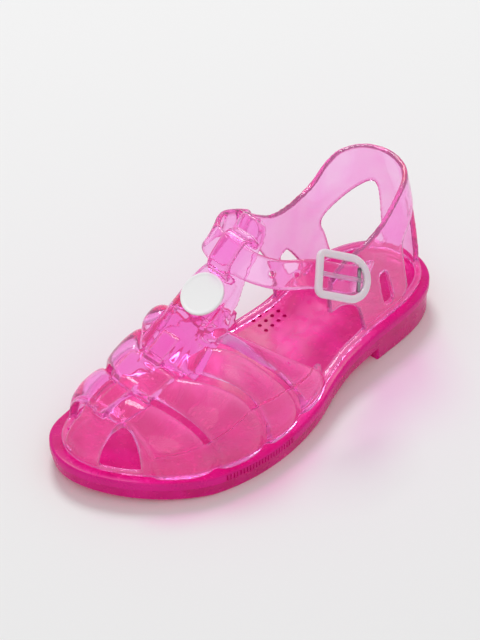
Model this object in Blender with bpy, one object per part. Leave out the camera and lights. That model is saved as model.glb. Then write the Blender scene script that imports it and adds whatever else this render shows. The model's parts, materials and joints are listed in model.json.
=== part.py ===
"""Jelly sandal: the left shoe of a child's pair, moulded in clear pink PVC, with a plastic buckle.

+Z is up, -Y points to the toe and +X to the wearer's left, where the buckle is. The origin is on the
floor under the middle of the heel. Sizes are in millimetres and become metres in each mesh.
"""

import math

import bpy
import numpy as np

MM = 0.001
GAP = 0.3  # between two pieces that meet

# Sole
SOLE_LENGTH = 187.0
BALL_WIDTH = 73.5
HEEL_BACK = 21.0  # the heel's back lies this far behind the origin
HEEL_HEIGHT = 16.0
ARCH_RISE = 6.0
TOE_SPRING = 3.5
HEEL_BREAST = 46.0  # from the heel's back to the step in front of the heel
BREAST_SLOPE = 0.6
TREAD_CHAMFER = 1.2
WELT_HEIGHT = 3.6
WELT_STEP = 0.8
LEDGE = 3.6  # from the sole's edge in to the upper
FOOTBED_EDGE = 7.2  # from the sole's edge in to the footbed
FOOTBED_DIP = 1.6
SOLE_WALL = 4.2
FOOTBED_THICKNESS = 4.0
CELL_PITCH = 12.0
CELL_RIB = 3.0
REST_PAD_RADIUS = 8.0
FOREFOOT_PAD_CELLS = 8  # the forefoot's pad is this many cells in front of the heel's
KNURL_PITCH = 1.5
KNURL_DEPTH = 0.55
KNURL_HEIGHT = 2.6
KNURL_FROM = 112.0  # the knurled stretch, from the heel's back
KNURL_TO = 146.0

# Upper
WALL = 2.3
INSTEP_RISE = 40.0  # crown of the rear vamp strap above the sole's edge
STRAP_GAP = 2.4  # between two vamp straps
STRAP_THICKNESS = 2.2
STRAP_CROWN = 1.5  # how far a strap's middle stands above its edges
STRAP_STEP = 0.7  # how far a strap's front edge stands above its rear edge
SKIRT_ANGLE = 24.0  # degrees up the last where the vamp straps part
CAP_FROM = 0.885  # share of the length where the toe cap starts
CAP_SINK = 6.0  # how far below the sole's edge the cap's inside is cut
ARCH_HALF_WIDTH = 8.4
ARCH_HEIGHT = 13.5
ARCH_SILL = 2.2
CAGE_HEIGHT = 60.0
CAGE_LEAN = 11.0  # the heel strap's top lies this far in front of its foot
CAGE_TAPER = 0.13
FOOT_BAND = 2.4
TBAR_WIDTH = 26.0
TBAR_TOP = 84.0
TBAR_THICKNESS = 2.4
TBAR_FLAT = 16.0  # the level middle of the bar, which carries the badge
TBAR_DROP = 3.4  # how far the bar's edges hang below its middle
TBAR_X = -4.0
LOOP_WIDTH = 11.0
LOOP_THICKNESS = 2.2

# Ankle strap, buckle and badge
ANKLE_WIDTH = 12.0
ANKLE_THICKNESS = 2.2
STRAP_TRIM = 0.22  # corner taken off a strap, as a share of its thickness
HOLE_DIAMETER = 2.4
HOLE_PITCH = 10.0
BUCKLE_LENGTH = 26.5
BUCKLE_HEIGHT = 19.6
BUCKLE_BORDER = 3.1
BUCKLE_THICKNESS = 2.4
PRONG_DIAMETER = 2.0
BADGE_DIAMETER = 18.4
BADGE_THICKNESS = 1.6
BADGE_AT = 0.622  # share of the length from the heel

# Share of the length from the heel, then the middle and half the width as shares of the ball's width.
OUTLINE = (
    (0.00, -0.011, 0.345),
    (0.05, -0.010, 0.345),
    (0.15, -0.010, 0.347),
    (0.25, 0.009, 0.336),
    (0.33, 0.033, 0.332),
    (0.40, 0.050, 0.356),
    (0.50, 0.069, 0.424),
    (0.60, 0.059, 0.476),
    (0.70, 0.035, 0.500),
    (0.80, 0.003, 0.485),
    (0.88, -0.045, 0.438),
    (0.95, -0.105, 0.390),
    (1.00, -0.140, 0.330),
)

# Share of the length, then the top edge as a share of the heel's height, and the underside in front of
# the heel as shares of the arch's rise and of the toe spring.
PROFILE = (
    (0.00, 1.00, 1.00, 0.00),
    (0.22, 1.00, 1.00, 0.00),
    (0.34, 0.90, 0.82, 0.00),
    (0.45, 0.76, 0.40, 0.00),
    (0.56, 0.64, 0.06, 0.00),
    (0.62, 0.60, 0.00, 0.00),
    (0.74, 0.60, 0.00, 0.00),
    (0.84, 0.63, 0.00, 0.20),
    (0.93, 0.69, 0.00, 0.58),
    (1.00, 0.76, 0.00, 1.00),
)

# Share of the length, then the last's crown above the sole's edge as a share of the instep's rise, and
# the crown's place across the last, as a share of its half width towards the inner side.
CROWN = (
    (0.40, 0.50, 0.05),
    (0.48, 0.62, 0.08),
    (0.55, 0.80, 0.12),
    (0.61, 0.96, 0.16),
    (0.66, 1.05, 0.18),
    (0.715, 0.88, 0.20),
    (0.75, 0.76, 0.20),
    (0.80, 0.63, 0.20),
    (0.845, 0.54, 0.18),
    (0.89, 0.50, 0.14),
    (0.93, 0.49, 0.08),
    (1.00, 0.48, 0.00),
)

# The lines between the vamp's straps from the rear to the front: share of the length at the crown, at
# the outer foot and at the inner foot.
VAMP_LINES = (
    (0.660, 0.432, 0.440),
    (0.714, 0.545, 0.545),
    (0.768, 0.660, 0.655),
    (0.832, 0.785, 0.780),
    (0.902, 0.905, 0.900),
)

# The woven band along the crown: share of the length and its height over the last, in wall thicknesses.
WEAVE = (
    (0.690, 1.10),
    (0.722, 1.10),
    (0.734, 0.05),
    (0.756, 0.05),
    (0.768, 1.50),
    (0.826, 1.50),
    (0.838, 0.05),
    (0.890, 0.05),
    (0.905, 0.40),
)
WEAVE_HALF_ANGLE = 16.0
RIB_HALF_ANGLE = 4.4
RIBS = ((0.705, 0.780), (0.818, 0.915))

# T-bar: share of the length, height as a share of its top, and width as a share of its own.
TBAR = (
    (0.752, 0.000, 1.00),
    (0.715, 0.115, 1.00),
    (0.690, 0.205, 1.00),
    (0.645, 0.328, 0.98),
    (0.600, 0.451, 0.93),
    (0.565, 0.551, 0.74),
    (0.545, 0.626, 0.66),
    (0.510, 0.771, 0.60),
    (0.490, 0.891, 0.55),
    (0.482, 0.970, 0.42),
    (0.480, 1.000, 0.20),
)
TBAR_FOOT = 0.802  # the bar's foot above the sole's edge, as a share of the instep's rise

# The loop on the T-bar: distance up the bar from the strap's middle and out from the bar's face, as
# shares of the strap's width and of the loop's rise.
LOOP = (
    (0.74, -0.35),
    (0.80, 0.45),
    (0.64, 0.92),
    (0.34, 1.06),
    (0.00, 1.08),
    (-0.36, 1.02),
    (-0.62, 0.62),
    (-0.69, -0.35),
)

# Heel cage: turn from the back (0) to the toe (1) and the rim's height as a share of the cage's.
OUTER_RIM = (
    (0.00, 1.00),
    (0.10, 0.99),
    (0.20, 0.95),
    (0.25, 0.88),
    (0.30, 0.785),
    (0.35, 0.745),
    (0.44, 0.755),
)
INNER_RIM = (
    (0.00, 1.00),
    (0.10, 0.99),
    (0.20, 0.96),
    (0.25, 0.89),
    (0.30, 0.795),
    (0.35, 0.775),
    (0.40, 0.805),
    (0.44, 0.91),
    (0.465, 1.00),
)

# Outlines cut from the cage, as turn and height: the side openings, the space in front of each quarter
# and the quarters' slots.
OUTER_OPENING = (
    (0.245, 0.045),
    (0.222, 0.085),
    (0.219, 0.18),
    (0.226, 0.38),
    (0.224, 0.52),
    (0.190, 0.60),
    (0.140, 0.665),
    (0.095, 0.69),
    (0.080, 0.62),
    (0.080, 0.40),
    (0.083, 0.15),
    (0.090, 0.045),
)
INNER_OPENING = (
    (0.232, 0.045),
    (0.240, 0.12),
    (0.252, 0.26),
    (0.266, 0.40),
    (0.245, 0.465),
    (0.195, 0.54),
    (0.140, 0.61),
    (0.095, 0.65),
    (0.080, 0.58),
    (0.080, 0.40),
    (0.083, 0.15),
    (0.090, 0.045),
)
OUTER_FRONT = (
    (0.348, 0.045),
    (0.356, 0.18),
    (0.368, 0.30),
    (0.395, 0.40),
    (0.425, 0.46),
    (0.47, 0.50),
    (0.50, 0.30),
    (0.50, 0.045),
    (0.42, 0.045),
)
INNER_FRONT = (
    (0.388, 0.045),
    (0.392, 0.16),
    (0.402, 0.34),
    (0.420, 0.52),
    (0.442, 0.66),
    (0.480, 0.76),
    (0.52, 0.40),
    (0.52, 0.045),
    (0.44, 0.045),
)
OUTER_SLOT = ((0.276, 0.10), (0.268, 0.14), (0.284, 0.37), (0.296, 0.40), (0.306, 0.37), (0.294, 0.14))
INNER_SLOT = ((0.330, 0.10), (0.321, 0.14), (0.360, 0.38), (0.372, 0.41), (0.381, 0.37), (0.350, 0.13))

# The ankle strap's middle line from the inner quarter to the buckle, as shares of the ball's width
# across, of the length from the heel and of the cage's height over the heel, then the direction of its
# width across, along and up, and how far the T-bar holds it.
ANKLE_ROUTE = (
    (-0.282, 0.415, 0.800, 0.00, 0.55, 0.83, 0.0),
    (-0.286, 0.450, 0.862, 0.00, 0.58, 0.81, 0.0),
    (-0.288, 0.490, 0.915, 0.00, 0.64, 0.77, 0.5),
    (-0.240, 0.530, 0.938, 0.00, 0.70, 0.71, 1.0),
    (-0.140, 0.548, 0.938, 0.00, 0.77, 0.64, 1.0),
    (-0.056, 0.550, 0.934, 0.00, 0.78, 0.62, 1.0),
    (0.030, 0.548, 0.940, 0.00, 0.78, 0.62, 1.0),
    (0.110, 0.534, 0.910, -0.05, 0.68, 0.73, 1.0),
    (0.205, 0.498, 0.856, -0.34, 0.60, 0.72, 0.5),
    (0.314, 0.450, 0.848, -0.50, 0.56, 0.66, 0.0),
    (0.354, 0.402, 0.762, -0.50, 0.56, 0.66, 0.0),
    (0.386, 0.362, 0.690, -0.48, 0.56, 0.68, 0.0),
    (0.360, 0.315, 0.612, -0.22, 0.52, 0.82, 0.0),
    (0.330, 0.282, 0.560, 0.00, 0.48, 0.88, 0.0),
)
STRAP_AT_TBAR = 5  # the row of the route that crosses the T-bar
BUCKLE_AT = 0.785  # share of the strap's length
FIRST_HOLE_AT = 0.52

PINK = (0.90, 0.055, 0.36, 1.0)
PALE_PINK = (0.93, 0.42, 0.76, 1.0)
FROSTED = (0.95, 0.80, 0.88, 1.0)
WHITE = (0.93, 0.93, 0.93, 1.0)


def clear_scene():
    for obj in list(bpy.data.objects):
        bpy.data.objects.remove(obj)


def new_collection(name):
    collection = bpy.data.collections.new(name)
    bpy.context.scene.collection.children.link(collection)
    return collection


def plastic(name, colour, roughness, clear):
    material = bpy.data.materials.new(name)
    material.use_nodes = True
    shader = material.node_tree.nodes["Principled BSDF"]
    shader.inputs["Base Color"].default_value = colour
    shader.inputs["Roughness"].default_value = roughness
    shader.inputs["Metallic"].default_value = 0.0
    shader.inputs["Transmission Weight"].default_value = clear
    return material


def new_object(name, points, faces, collection, material=None):
    """A mesh object from points in millimetres, with its faces turned outwards."""
    mesh = bpy.data.meshes.new(name)
    mesh.from_pydata([tuple(float(v) * MM for v in point) for point in points], [], faces)
    mesh.shade_smooth()
    mesh.set_sharp_from_angle(angle=math.radians(40))
    if material:
        mesh.materials.append(material)
    obj = bpy.data.objects.new(name, mesh)
    collection.objects.link(obj)
    return obj


def outward(points, faces):
    """The faces, turned round if they enclose a negative volume."""
    points = np.asarray(points, float)
    volume = 0.0
    for face in faces:
        first = points[face[0]]
        for b, c in zip(face[1:-1], face[2:]):
            volume += np.dot(first, np.cross(points[b], points[c]))
    return faces if volume > 0 else [tuple(reversed(face)) for face in faces]


def loft(name, rings, collection, material=None):
    """A solid through closed rings of equal point counts, with flat ends."""
    count = len(rings[0])
    points = [point for ring in rings for point in ring]
    faces = [tuple(range(count)), tuple(range(len(points) - 1, len(points) - count - 1, -1))]
    for low in range(0, len(points) - count, count):
        for i in range(count):
            j = (i + 1) % count
            faces.append((low + i, low + count + i, low + count + j, low + j))
    return new_object(name, points, outward(points, faces), collection, material)


def tool(name, rings):
    """A loft that only cuts or adds to a piece."""
    return as_tool(loft(name, rings, tools))


def as_tool(obj):
    obj.hide_render = True
    obj.display_type = "WIRE"
    return obj


def combine(body, other, operation):
    modifier = body.modifiers.new(other.name, "BOOLEAN")
    modifier.operation = operation
    modifier.solver = "EXACT"
    modifier.object = other


def add_to(body, *others):
    for other in others:
        combine(body, other, "UNION")


def cut_from(body, *others):
    for other in others:
        combine(body, other, "DIFFERENCE")


def along(table, share):
    """The columns of a table at a share, by cubics that stay flat where two rows are alike."""
    keys = np.array([row[0] for row in table])
    values = np.array([row[1:] for row in table], float)
    share = min(max(share, keys[0]), keys[-1])
    i = min(int(np.searchsorted(keys, share, side="right")) - 1, len(keys) - 2)
    steps = np.diff(keys)[:, None]
    secants = np.diff(values, axis=0) / steps

    def slope(k):
        if k in (0, len(keys) - 1):
            return secants[min(k, len(secants) - 1)]
        before, after = secants[k - 1], secants[k]
        alike = before * after > 0
        safe = np.where(alike, before + after, 1.0)
        return np.where(alike, 2 * before * after / safe, 0.0)

    width = steps[i]
    t = (share - keys[i]) / width
    return (
        values[i] * (1 + 2 * t) * (1 - t) ** 2
        + values[i + 1] * t**2 * (3 - 2 * t)
        + slope(i) * width * t * (1 - t) ** 2
        - slope(i + 1) * width * t**2 * (1 - t)
    )


def smooth_route(points, steps):
    """Catmull-Rom points through rows of numbers, with steps between two rows."""
    rows = np.array(points, float)
    rows = np.vstack([2 * rows[0] - rows[1], rows, 2 * rows[-1] - rows[-2]])
    route = []
    for a, b, c, d in zip(rows, rows[1:], rows[2:], rows[3:]):
        for k in range(steps):
            t = k / steps
            bend = (2 * a - 5 * b + 4 * c - d) * t**2 + (3 * b - a - 3 * c + d) * t**3
            route.append(0.5 * (2 * b + (c - a) * t + bend))
    route.append(rows[-2])
    return route


def unit(vector):
    return vector / np.linalg.norm(vector)


# Sole


def edge(turn, side, inset=0.0):
    """A point of the outline moved in by inset: turn runs from 0 at the heel's back to 1 at the toe."""
    run = (1 - math.cos(math.pi * turn)) / 2
    y = HEEL_BACK - inset - run * (SOLE_LENGTH - 2 * inset)
    middle, half = along(OUTLINE, (HEEL_BACK - y) / SOLE_LENGTH) * BALL_WIDTH
    roundness = math.sqrt(max(0.0, 1 - abs(2 * run - 1) ** 7))
    return middle + side * (half - inset) * roundness, y


def turn_at(y, inset=0.0):
    run = (HEEL_BACK - inset - y) / (SOLE_LENGTH - 2 * inset)
    return math.acos(1 - 2 * min(max(run, 0.0), 1.0)) / math.pi


def share_of(y):
    return (HEEL_BACK - y) / SOLE_LENGTH


def top_edge(y):
    return along(PROFILE, share_of(y))[0] * HEEL_HEIGHT


def underside(y, before_breast):
    if before_breast:
        return 0.0
    _, arch, spring = along(PROFILE, share_of(y))
    return arch * ARCH_RISE + spring * TOE_SPRING


def sole_turns():
    """Stations along the sole, with two at the heel breast."""
    even = [i / 28 for i in range(29)]
    breast = [turn_at(HEEL_BACK - HEEL_BREAST + step) for step in (BREAST_SLOPE / 2, -BREAST_SLOPE / 2)]
    apart = [turn for turn in even if min(abs(turn - other) for other in breast) > 0.008]
    return sorted(apart + breast), breast[0]


def sole_ring(turns, breast, inset, height):
    """A closed ring round the sole: height is a function of y and of being behind the breast."""
    sides = [(turn, 1) for turn in turns] + [(turn, -1) for turn in turns[-2:0:-1]]
    ring = []
    for turn, side in sides:
        x, y = edge(turn, side, inset)
        ring.append((x, y, height(y, turn <= breast)))
    return ring


def cross_faces(last, count, start, inner, columns):
    """Faces across a ring of count points from start, whose inner points in between start at inner."""

    def index(row, column):
        if column == 0 or row in (0, last):
            return start + row
        if column == columns:
            return start + count - row
        return inner + (row - 1) * (columns - 1) + column - 1

    faces = []
    for row in range(last):
        for column in range(columns):
            near = (index(row, column), index(row + 1, column))
            far = (index(row + 1, column + 1), index(row, column + 1))
            faces.append(tuple(dict.fromkeys(near + far)))
    return [face for face in faces if len(face) > 2]


def plan_solid(name, rings, rows, collection, dip=0.0, columns=4, material=None):
    """A solid through rings round the sole, closed across its plan below and above, where it may dip."""
    count = len(rings[0])
    last = rows - 1
    points = [point for ring in rings for point in ring]
    top = len(points) - count
    faces = []
    for low in range(0, top, count):
        for i in range(count):
            j = (i + 1) % count
            faces.append((low + i, low + count + i, low + count + j, low + j))
    faces += cross_faces(last, count, 0, 0, 1)
    inner = len(points)
    for row in range(1, last):
        outer_side, inner_side = np.array(points[top + row]), np.array(points[top + count - row])
        for column in range(1, columns):
            across = column / columns
            point = outer_side + (inner_side - outer_side) * across
            point[2] -= dip * math.sin(math.pi * across) * math.sqrt(math.sin(math.pi * row / last))
            points.append(tuple(point))
    faces += [tuple(reversed(face)) for face in cross_faces(last, count, top, inner, columns)]
    return new_object(name, points, outward(points, faces), collection, material)


def make_sole(material):
    turns, breast = sole_turns()

    def ring(inset, height):
        return sole_ring(turns, breast, inset, height)

    rings = [
        ring(TREAD_CHAMFER, underside),
        ring(0.0, lambda y, behind: underside(y, behind) + TREAD_CHAMFER),
        ring(0.0, lambda y, behind: top_edge(y) - WELT_HEIGHT - WELT_STEP),
        ring(-WELT_STEP, lambda y, behind: top_edge(y) - WELT_HEIGHT),
        ring(-WELT_STEP, lambda y, behind: top_edge(y) - WELT_STEP),
        ring(0.0, lambda y, behind: top_edge(y)),
        ring(FOOTBED_EDGE, lambda y, behind: top_edge(y)),
    ]
    sole = plan_solid("sole", rings, len(turns), parts, FOOTBED_DIP, 4, material)
    cut_from(sole, sole_cavity(), *knurl_grooves())
    return sole


def sole_cavity():
    """The hollow under the sole, less its ribs and the two pads that it rests on."""
    turns = [i / 22 for i in range(23)]
    floor = sole_ring(turns, 0.0, SOLE_WALL, lambda y, behind: -TREAD_CHAMFER)
    roof = sole_ring(turns, 0.0, SOLE_WALL, lambda y, behind: top_edge(y) - FOOTBED_THICKNESS)
    cavity = as_tool(plan_solid("sole_cavity", [floor, roof], len(turns), tools, columns=2))
    middle = HEEL_BACK - SOLE_LENGTH / 2
    reach = SOLE_LENGTH
    tall = 2 * HEEL_HEIGHT
    for k in range(-3, 4):
        combine(cavity, box(f"rib_along_{k}", (k * CELL_PITCH, middle, 0), (CELL_RIB, reach, tall)), "DIFFERENCE")
    first = -math.ceil(HEEL_BACK / CELL_PITCH)
    for k in range(first, first + math.ceil(SOLE_LENGTH / CELL_PITCH) + 2):
        place = (0, -k * CELL_PITCH, 0)
        combine(cavity, box(f"rib_across_{k}", place, (2 * BALL_WIDTH, CELL_RIB, tall)), "DIFFERENCE")
    for k, y in enumerate((0.0, -FOREFOOT_PAD_CELLS * CELL_PITCH)):
        combine(cavity, disc(f"pad_{k}", (0, y, 0), REST_PAD_RADIUS, tall), "DIFFERENCE")
    return cavity


def box(name, centre, size):
    half = np.array(size) / 2
    corners = ((-1, -1), (1, -1), (1, 1), (-1, 1))
    rings = [[np.array(centre) + half * (x, y, z) for x, y in corners] for z in (-1, 1)]
    return tool(name, rings)


def disc(name, centre, radius, height, count=12):
    turns = [2 * math.pi * (i + 0.5) / count for i in range(count)]
    flat = [(radius * math.cos(a), radius * math.sin(a)) for a in turns]
    rings = [[np.array(centre) + (x, y, z) for x, y in flat] for z in (-height / 2, height / 2)]
    return tool(name, rings)


def knurl_grooves():
    """Upright grooves in the welt along the outer side of the ball."""
    grooves = []
    for k in range(round((KNURL_TO - KNURL_FROM) / KNURL_PITCH)):
        y = HEEL_BACK - KNURL_FROM - k * KNURL_PITCH
        turn = turn_at(y)
        spot = np.array(edge(turn, 1, -WELT_STEP))
        run = unit(np.array(edge(turn + 0.005, 1, -WELT_STEP)) - spot)
        out = np.array((-run[1], run[0]))
        out = out if out[0] > 0 else -out
        mid = top_edge(y) - WELT_HEIGHT / 2 - WELT_STEP / 4
        deep = spot - out * KNURL_DEPTH
        wide = KNURL_PITCH * 0.32
        flat = [deep, spot + out * 0.5 + run * wide, spot + out * 0.5 - run * wide]
        rings = [[(*p, mid + z) for p in flat] for z in (-KNURL_HEIGHT / 2, KNURL_HEIGHT / 2)]
        grooves.append(tool(f"knurl_{k}", rings))
    return grooves


# Vamp


def last_point(share, angle, inset=LEDGE, lower=0.0):
    """A point of the last: angle runs from 0 at the outer foot over the crown to pi at the inner foot."""
    y = HEEL_BACK - share * SOLE_LENGTH
    turn = turn_at(y, inset)
    outer, inner = edge(turn, 1, inset)[0], edge(turn, -1, inset)[0]
    rise, towards = along(CROWN, share)
    run = (1 - math.cos(math.pi * turn)) / 2
    dome = math.sqrt(max(0.0, 1 - (max(0.0, run - 0.83) / 0.17) ** 2.6))
    middle = (outer + inner) / 2 - towards * (outer - inner) / 2
    cosine, sine = math.cos(angle), max(0.0, math.sin(angle))
    across = (outer - middle) * abs(cosine) ** 0.92 if cosine > 0 else (inner - middle) * abs(cosine) ** 0.66
    height = top_edge(y) + GAP + (rise * INSTEP_RISE - lower) * dome * sine ** (0.88 if cosine > 0 else 0.76)
    return np.array((middle + across, y, height))


def vamp(share, angle, lift=0.0):
    """A point over the last, lifted from it along its normal."""
    point = last_point(share, angle)
    if not lift:
        return point
    step = 0.03
    low, high = max(angle - step, 0.02), min(angle + step, math.pi - 0.02)
    round_it = last_point(share, high) - last_point(share, low)
    length = last_point(share + 0.006, angle) - last_point(share - 0.006, angle)
    normal = unit(np.cross(round_it, length))
    if normal[2] < 0:
        normal = -normal
    lifted = point + normal * lift
    lifted[2] = max(lifted[2], top_edge(point[1]) + GAP)
    return lifted


def line_share(row, angle):
    crown, outer, inner = row
    foot = outer if math.cos(angle) > 0 else inner
    return crown + (foot - crown) * abs(math.cos(angle)) ** 1.35


def vamp_strap(name, rear, front, steps=20):
    """One transverse strap from foot to foot: its face bulges, and its front edge stands higher."""
    half_gap = STRAP_GAP / SOLE_LENGTH / 2
    rings = []
    for i in range(steps + 1):
        angle = math.pi * i / steps
        low = line_share(rear, angle) + half_gap
        high = line_share(front, angle) - half_gap
        outer, inner = [], []
        for across in (-1.0, -0.7, 0.0, 0.75, 1.0):
            share = (low + high) / 2 + (high - low) / 2 * across
            edge_round = 0.7 if abs(across) == 1.0 else 0.0
            lift = WALL * 0.3 + STRAP_CROWN * (1 - across**2) + STRAP_STEP * (1 + across) / 2 - edge_round
            outer.append(vamp(share, angle, lift))
            inner.append(vamp(share, angle, lift - STRAP_THICKNESS - STRAP_CROWN * (1 - across**2) + edge_round))
        rings.append(outer + inner[::-1])
    return tool(name, rings)


def crown_strip(name, shares, lifts, half_angle, thickness):
    """A strip along the crown, of a given height over the last at each share."""
    rings = []
    for share, lift in zip(shares, lifts):
        angles = [math.pi / 2 + math.radians(half_angle) * across for across in (-1.0, -0.8, 0.8, 1.0)]
        edge_round = (0.5, 0.0, 0.0, 0.5)
        outer = [vamp(share, angle, lift - drop) for angle, drop in zip(angles, edge_round)]
        inner = [vamp(share, angle, lift - thickness) for angle in angles]
        rings.append(outer + inner[::-1])
    return tool(name, rings)


def skirt(name, side):
    """The low wall that the straps' feet run into, from the rear strap to the toe cap."""
    foot = VAMP_LINES[0][1 if side > 0 else 2] + 0.012
    shares = np.linspace(foot, CAP_FROM + 0.03, 12)
    steps = 3
    rings = []
    for share in shares:
        angles = [math.radians(SKIRT_ANGLE) * k / steps for k in range(steps + 1)]
        angles = angles if side > 0 else [math.pi - angle for angle in angles]
        outer = [vamp(share, angle, 0.25) for angle in angles]
        inner = [vamp(share, angle, 0.25 - WALL) for angle in angles]
        rings.append(outer + inner[::-1])
    return tool(name, rings)


def toe_dome(name, inset, lower, start, below):
    """The last in front of a share, closed to a solid: the toe cap is one such solid less another."""
    first = turn_at(HEEL_BACK - start * SOLE_LENGTH, inset)
    rings = []
    for i in range(10):
        turn = first + (0.985 - first) * i / 9
        y = edge(turn, 1, inset)[1]
        arc = [last_point(share_of(y), math.pi * k / 16, inset, lower) for k in range(17)]
        arc[0][2] -= below
        arc[-1][2] -= below
        rings.append(arc)
    return tool(name, rings)


def toe_arch(name, side):
    """The arched window beside the toe cap, cut level along the sole's edge."""
    foot = np.array(edge(turn_at(HEEL_BACK - 0.945 * SOLE_LENGTH, LEDGE), side, LEDGE))
    ahead = np.array(edge(turn_at(HEEL_BACK - 0.965 * SOLE_LENGTH, LEDGE), side, LEDGE))
    behind = np.array(edge(turn_at(HEEL_BACK - 0.925 * SOLE_LENGTH, LEDGE), side, LEDGE))
    run = unit(ahead - behind)
    out = np.array((-run[1], run[0]))
    out = out if out[0] * side > 0 else -out
    floor = top_edge(foot[1]) + GAP + ARCH_SILL
    rings = []
    for reach in (4.0, -15.0):
        spot = foot + out * reach
        ring = []
        for k in range(13):
            a = math.pi * k / 12
            ring.append((*(spot + run * math.cos(a) * ARCH_HALF_WIDTH), floor + math.sin(a) * ARCH_HEIGHT))
        rings.append(ring)
    return tool(name, rings)


# T-bar


def tbar_rows():
    return smooth_route(TBAR, 2)


def tbar_frame(row):
    """Middle of the bar at a row of its table, with its upward run and outward normal."""
    share, height, _ = row
    foot = top_edge(HEEL_BACK - TBAR[0][0] * SOLE_LENGTH) + TBAR_FOOT * INSTEP_RISE
    return np.array((TBAR_X, HEEL_BACK - share * SOLE_LENGTH, foot + height * (TBAR_TOP - foot)))


def strap_crossing():
    """Where the ankle strap crosses the bar: a point of the bar, its run and its normal."""
    route = [tbar_frame(row) for row in tbar_rows()]
    x, share = ANKLE_ROUTE[STRAP_AT_TBAR][:2]
    y = HEEL_BACK - share * SOLE_LENGTH
    lift = TBAR_THICKNESS / 2 + 2 * GAP + ANKLE_THICKNESS / 2
    best = None
    for low, high in zip(route, route[1:]):
        run = unit(high - low)
        normal = np.cross((1, 0, 0), run)
        for k in range(8):
            point = low + (high - low) * k / 8
            miss = abs((point + normal * lift)[1] - y)
            if best is None or miss < best[0]:
                best = (miss, point, run, normal)
    return best[1:]


def tbar_plate():
    rows = tbar_rows()
    middles = [tbar_frame(row) for row in rows]
    rings = []
    for i, row in enumerate(rows):
        run = unit(middles[min(i + 1, len(rows) - 1)] - middles[max(i - 1, 0)])
        normal = np.cross((1, 0, 0), run)
        half = row[2] * TBAR_WIDTH / 2
        flat = min(TBAR_FLAT / 2, half * 0.7)
        right = [(flat, 0.0), ((half + flat) / 2, 0.32), (half, 1.0)]
        spread = [(-x, depth) for x, depth in reversed(right)] + right
        drop = TBAR_DROP * max(0.0, half - flat) / (TBAR_WIDTH / 2 - TBAR_FLAT / 2)
        up, down = [], []
        for x, depth in spread:
            base = middles[i] + np.array((x, 0, 0)) - normal * drop * depth
            up.append(base + normal * TBAR_THICKNESS / 2)
            down.append(base - normal * TBAR_THICKNESS / 2)
        rings.append(up + down[::-1])
    return tool("tbar_plate", rings)


def ribbon(route, widths, normals, width, thickness):
    """Rings of a rectangular strip along a route, its corners taken off."""
    rings = []
    trim = thickness * STRAP_TRIM
    for point, across, normal in zip(route, widths, normals):
        ring = []
        for a, b in ((1, 1), (-1, 1), (-1, -1), (1, -1)):
            corner = (width / 2, thickness / 2)
            first = (corner[0] - trim, corner[1]) if a * b < 0 else (corner[0], corner[1] - trim)
            second = (corner[0], corner[1] - trim) if a * b < 0 else (corner[0] - trim, corner[1])
            for w, h in (first, second):
                ring.append(point + across * a * w + normal * b * h)
        rings.append(ring)
    return rings


def tbar_loop():
    """The tongue that leaves the bar's head, passes over the ankle strap and goes back into the bar."""
    spot, run, normal = strap_crossing()
    rise = TBAR_THICKNESS / 2 + 6 * GAP + ANKLE_THICKNESS + LOOP_THICKNESS / 2
    route = [spot + run * a * ANKLE_WIDTH + normal * b * rise for a, b in smooth_route(LOOP, 2)]
    across = [np.array((1.0, 0, 0))] * len(route)
    normals = []
    for i in range(len(route)):
        along_it = unit(route[min(i + 1, len(route) - 1)] - route[max(i - 1, 0)])
        normals.append(np.cross(across[0], along_it))
    return tool("tbar_loop", ribbon(route, across, normals, LOOP_WIDTH, LOOP_THICKNESS))


# Heel cage


def cage(turn, height, lift=0.0):
    """A point of the cage: turn is positive on the outer side, height a share of the cage's."""

    def at(signed, share):
        side = 1 if signed >= 0 else -1
        x, y = edge(abs(signed), side, LEDGE)
        run = (1 - math.cos(math.pi * signed)) / 2
        back = max(0.0, 1 - run / 0.27) ** 1.5
        base = top_edge(y) + GAP
        z = base + (HEEL_HEIGHT + CAGE_HEIGHT - base) * share
        middle = along(OUTLINE, share_of(y))[0] * BALL_WIDTH
        narrowed = middle + (x - middle) * (1 - CAGE_TAPER * share)
        return np.array((narrowed, y - CAGE_LEAN * abs(share) ** 1.5 * back, z))

    point = at(turn, height)
    if not lift:
        return point
    round_it = at(turn + 0.004, height) - at(turn - 0.004, height)
    up = at(turn, height + 0.02) - at(turn, height - 0.02)
    normal = unit(np.cross(round_it, up))
    centre = np.array((0.0, -20.0, point[2]))
    if np.dot(normal, point - centre) < 0:
        normal = -normal
    lifted = point + normal * lift
    lifted[2] = max(lifted[2], top_edge(point[1]) + GAP) if height <= 0.02 else lifted[2]
    return lifted


def cage_shell():
    """The whole wall of the heel cage, up to its rim, before its openings are cut."""
    inner_end, outer_end = INNER_RIM[-1][0], OUTER_RIM[-1][0]
    sides = (np.linspace(-inner_end, -0.1, 13), np.linspace(-0.07, 0.07, 5), np.linspace(0.1, outer_end, 12))
    turns = np.concatenate(sides)
    steps = 5
    rings = []
    for turn in turns:
        rim = along(OUTER_RIM if turn >= 0 else INNER_RIM, abs(turn))[0]
        heights = [rim * k / steps for k in range(steps + 1)]
        outer = [cage(turn, height, WALL / 2) for height in heights]
        inner = [cage(turn, height, -WALL / 2) for height in heights]
        rings.append(outer + inner[::-1])
    return loft("upper", rings, parts, upper_material)


def foot_band():
    """The low border that joins the feet of the straps and quarters round the heel."""
    reach = turn_at(HEEL_BACK - 0.47 * SOLE_LENGTH, LEDGE)
    rings = []
    for turn in np.linspace(-reach, reach, 33):
        share = FOOT_BAND / CAGE_HEIGHT
        low, high = cage(turn, 0.0), cage(turn, share)
        out = cage(turn, 0.01, 1.0) - cage(turn, 0.01)
        out[2] = 0.0
        out = unit(out)
        thick = WALL / 2 + 0.3
        rings.append([low + out * thick, high + out * thick, high - out * thick, low - out * thick])
    return tool("foot_band", rings)


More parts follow.
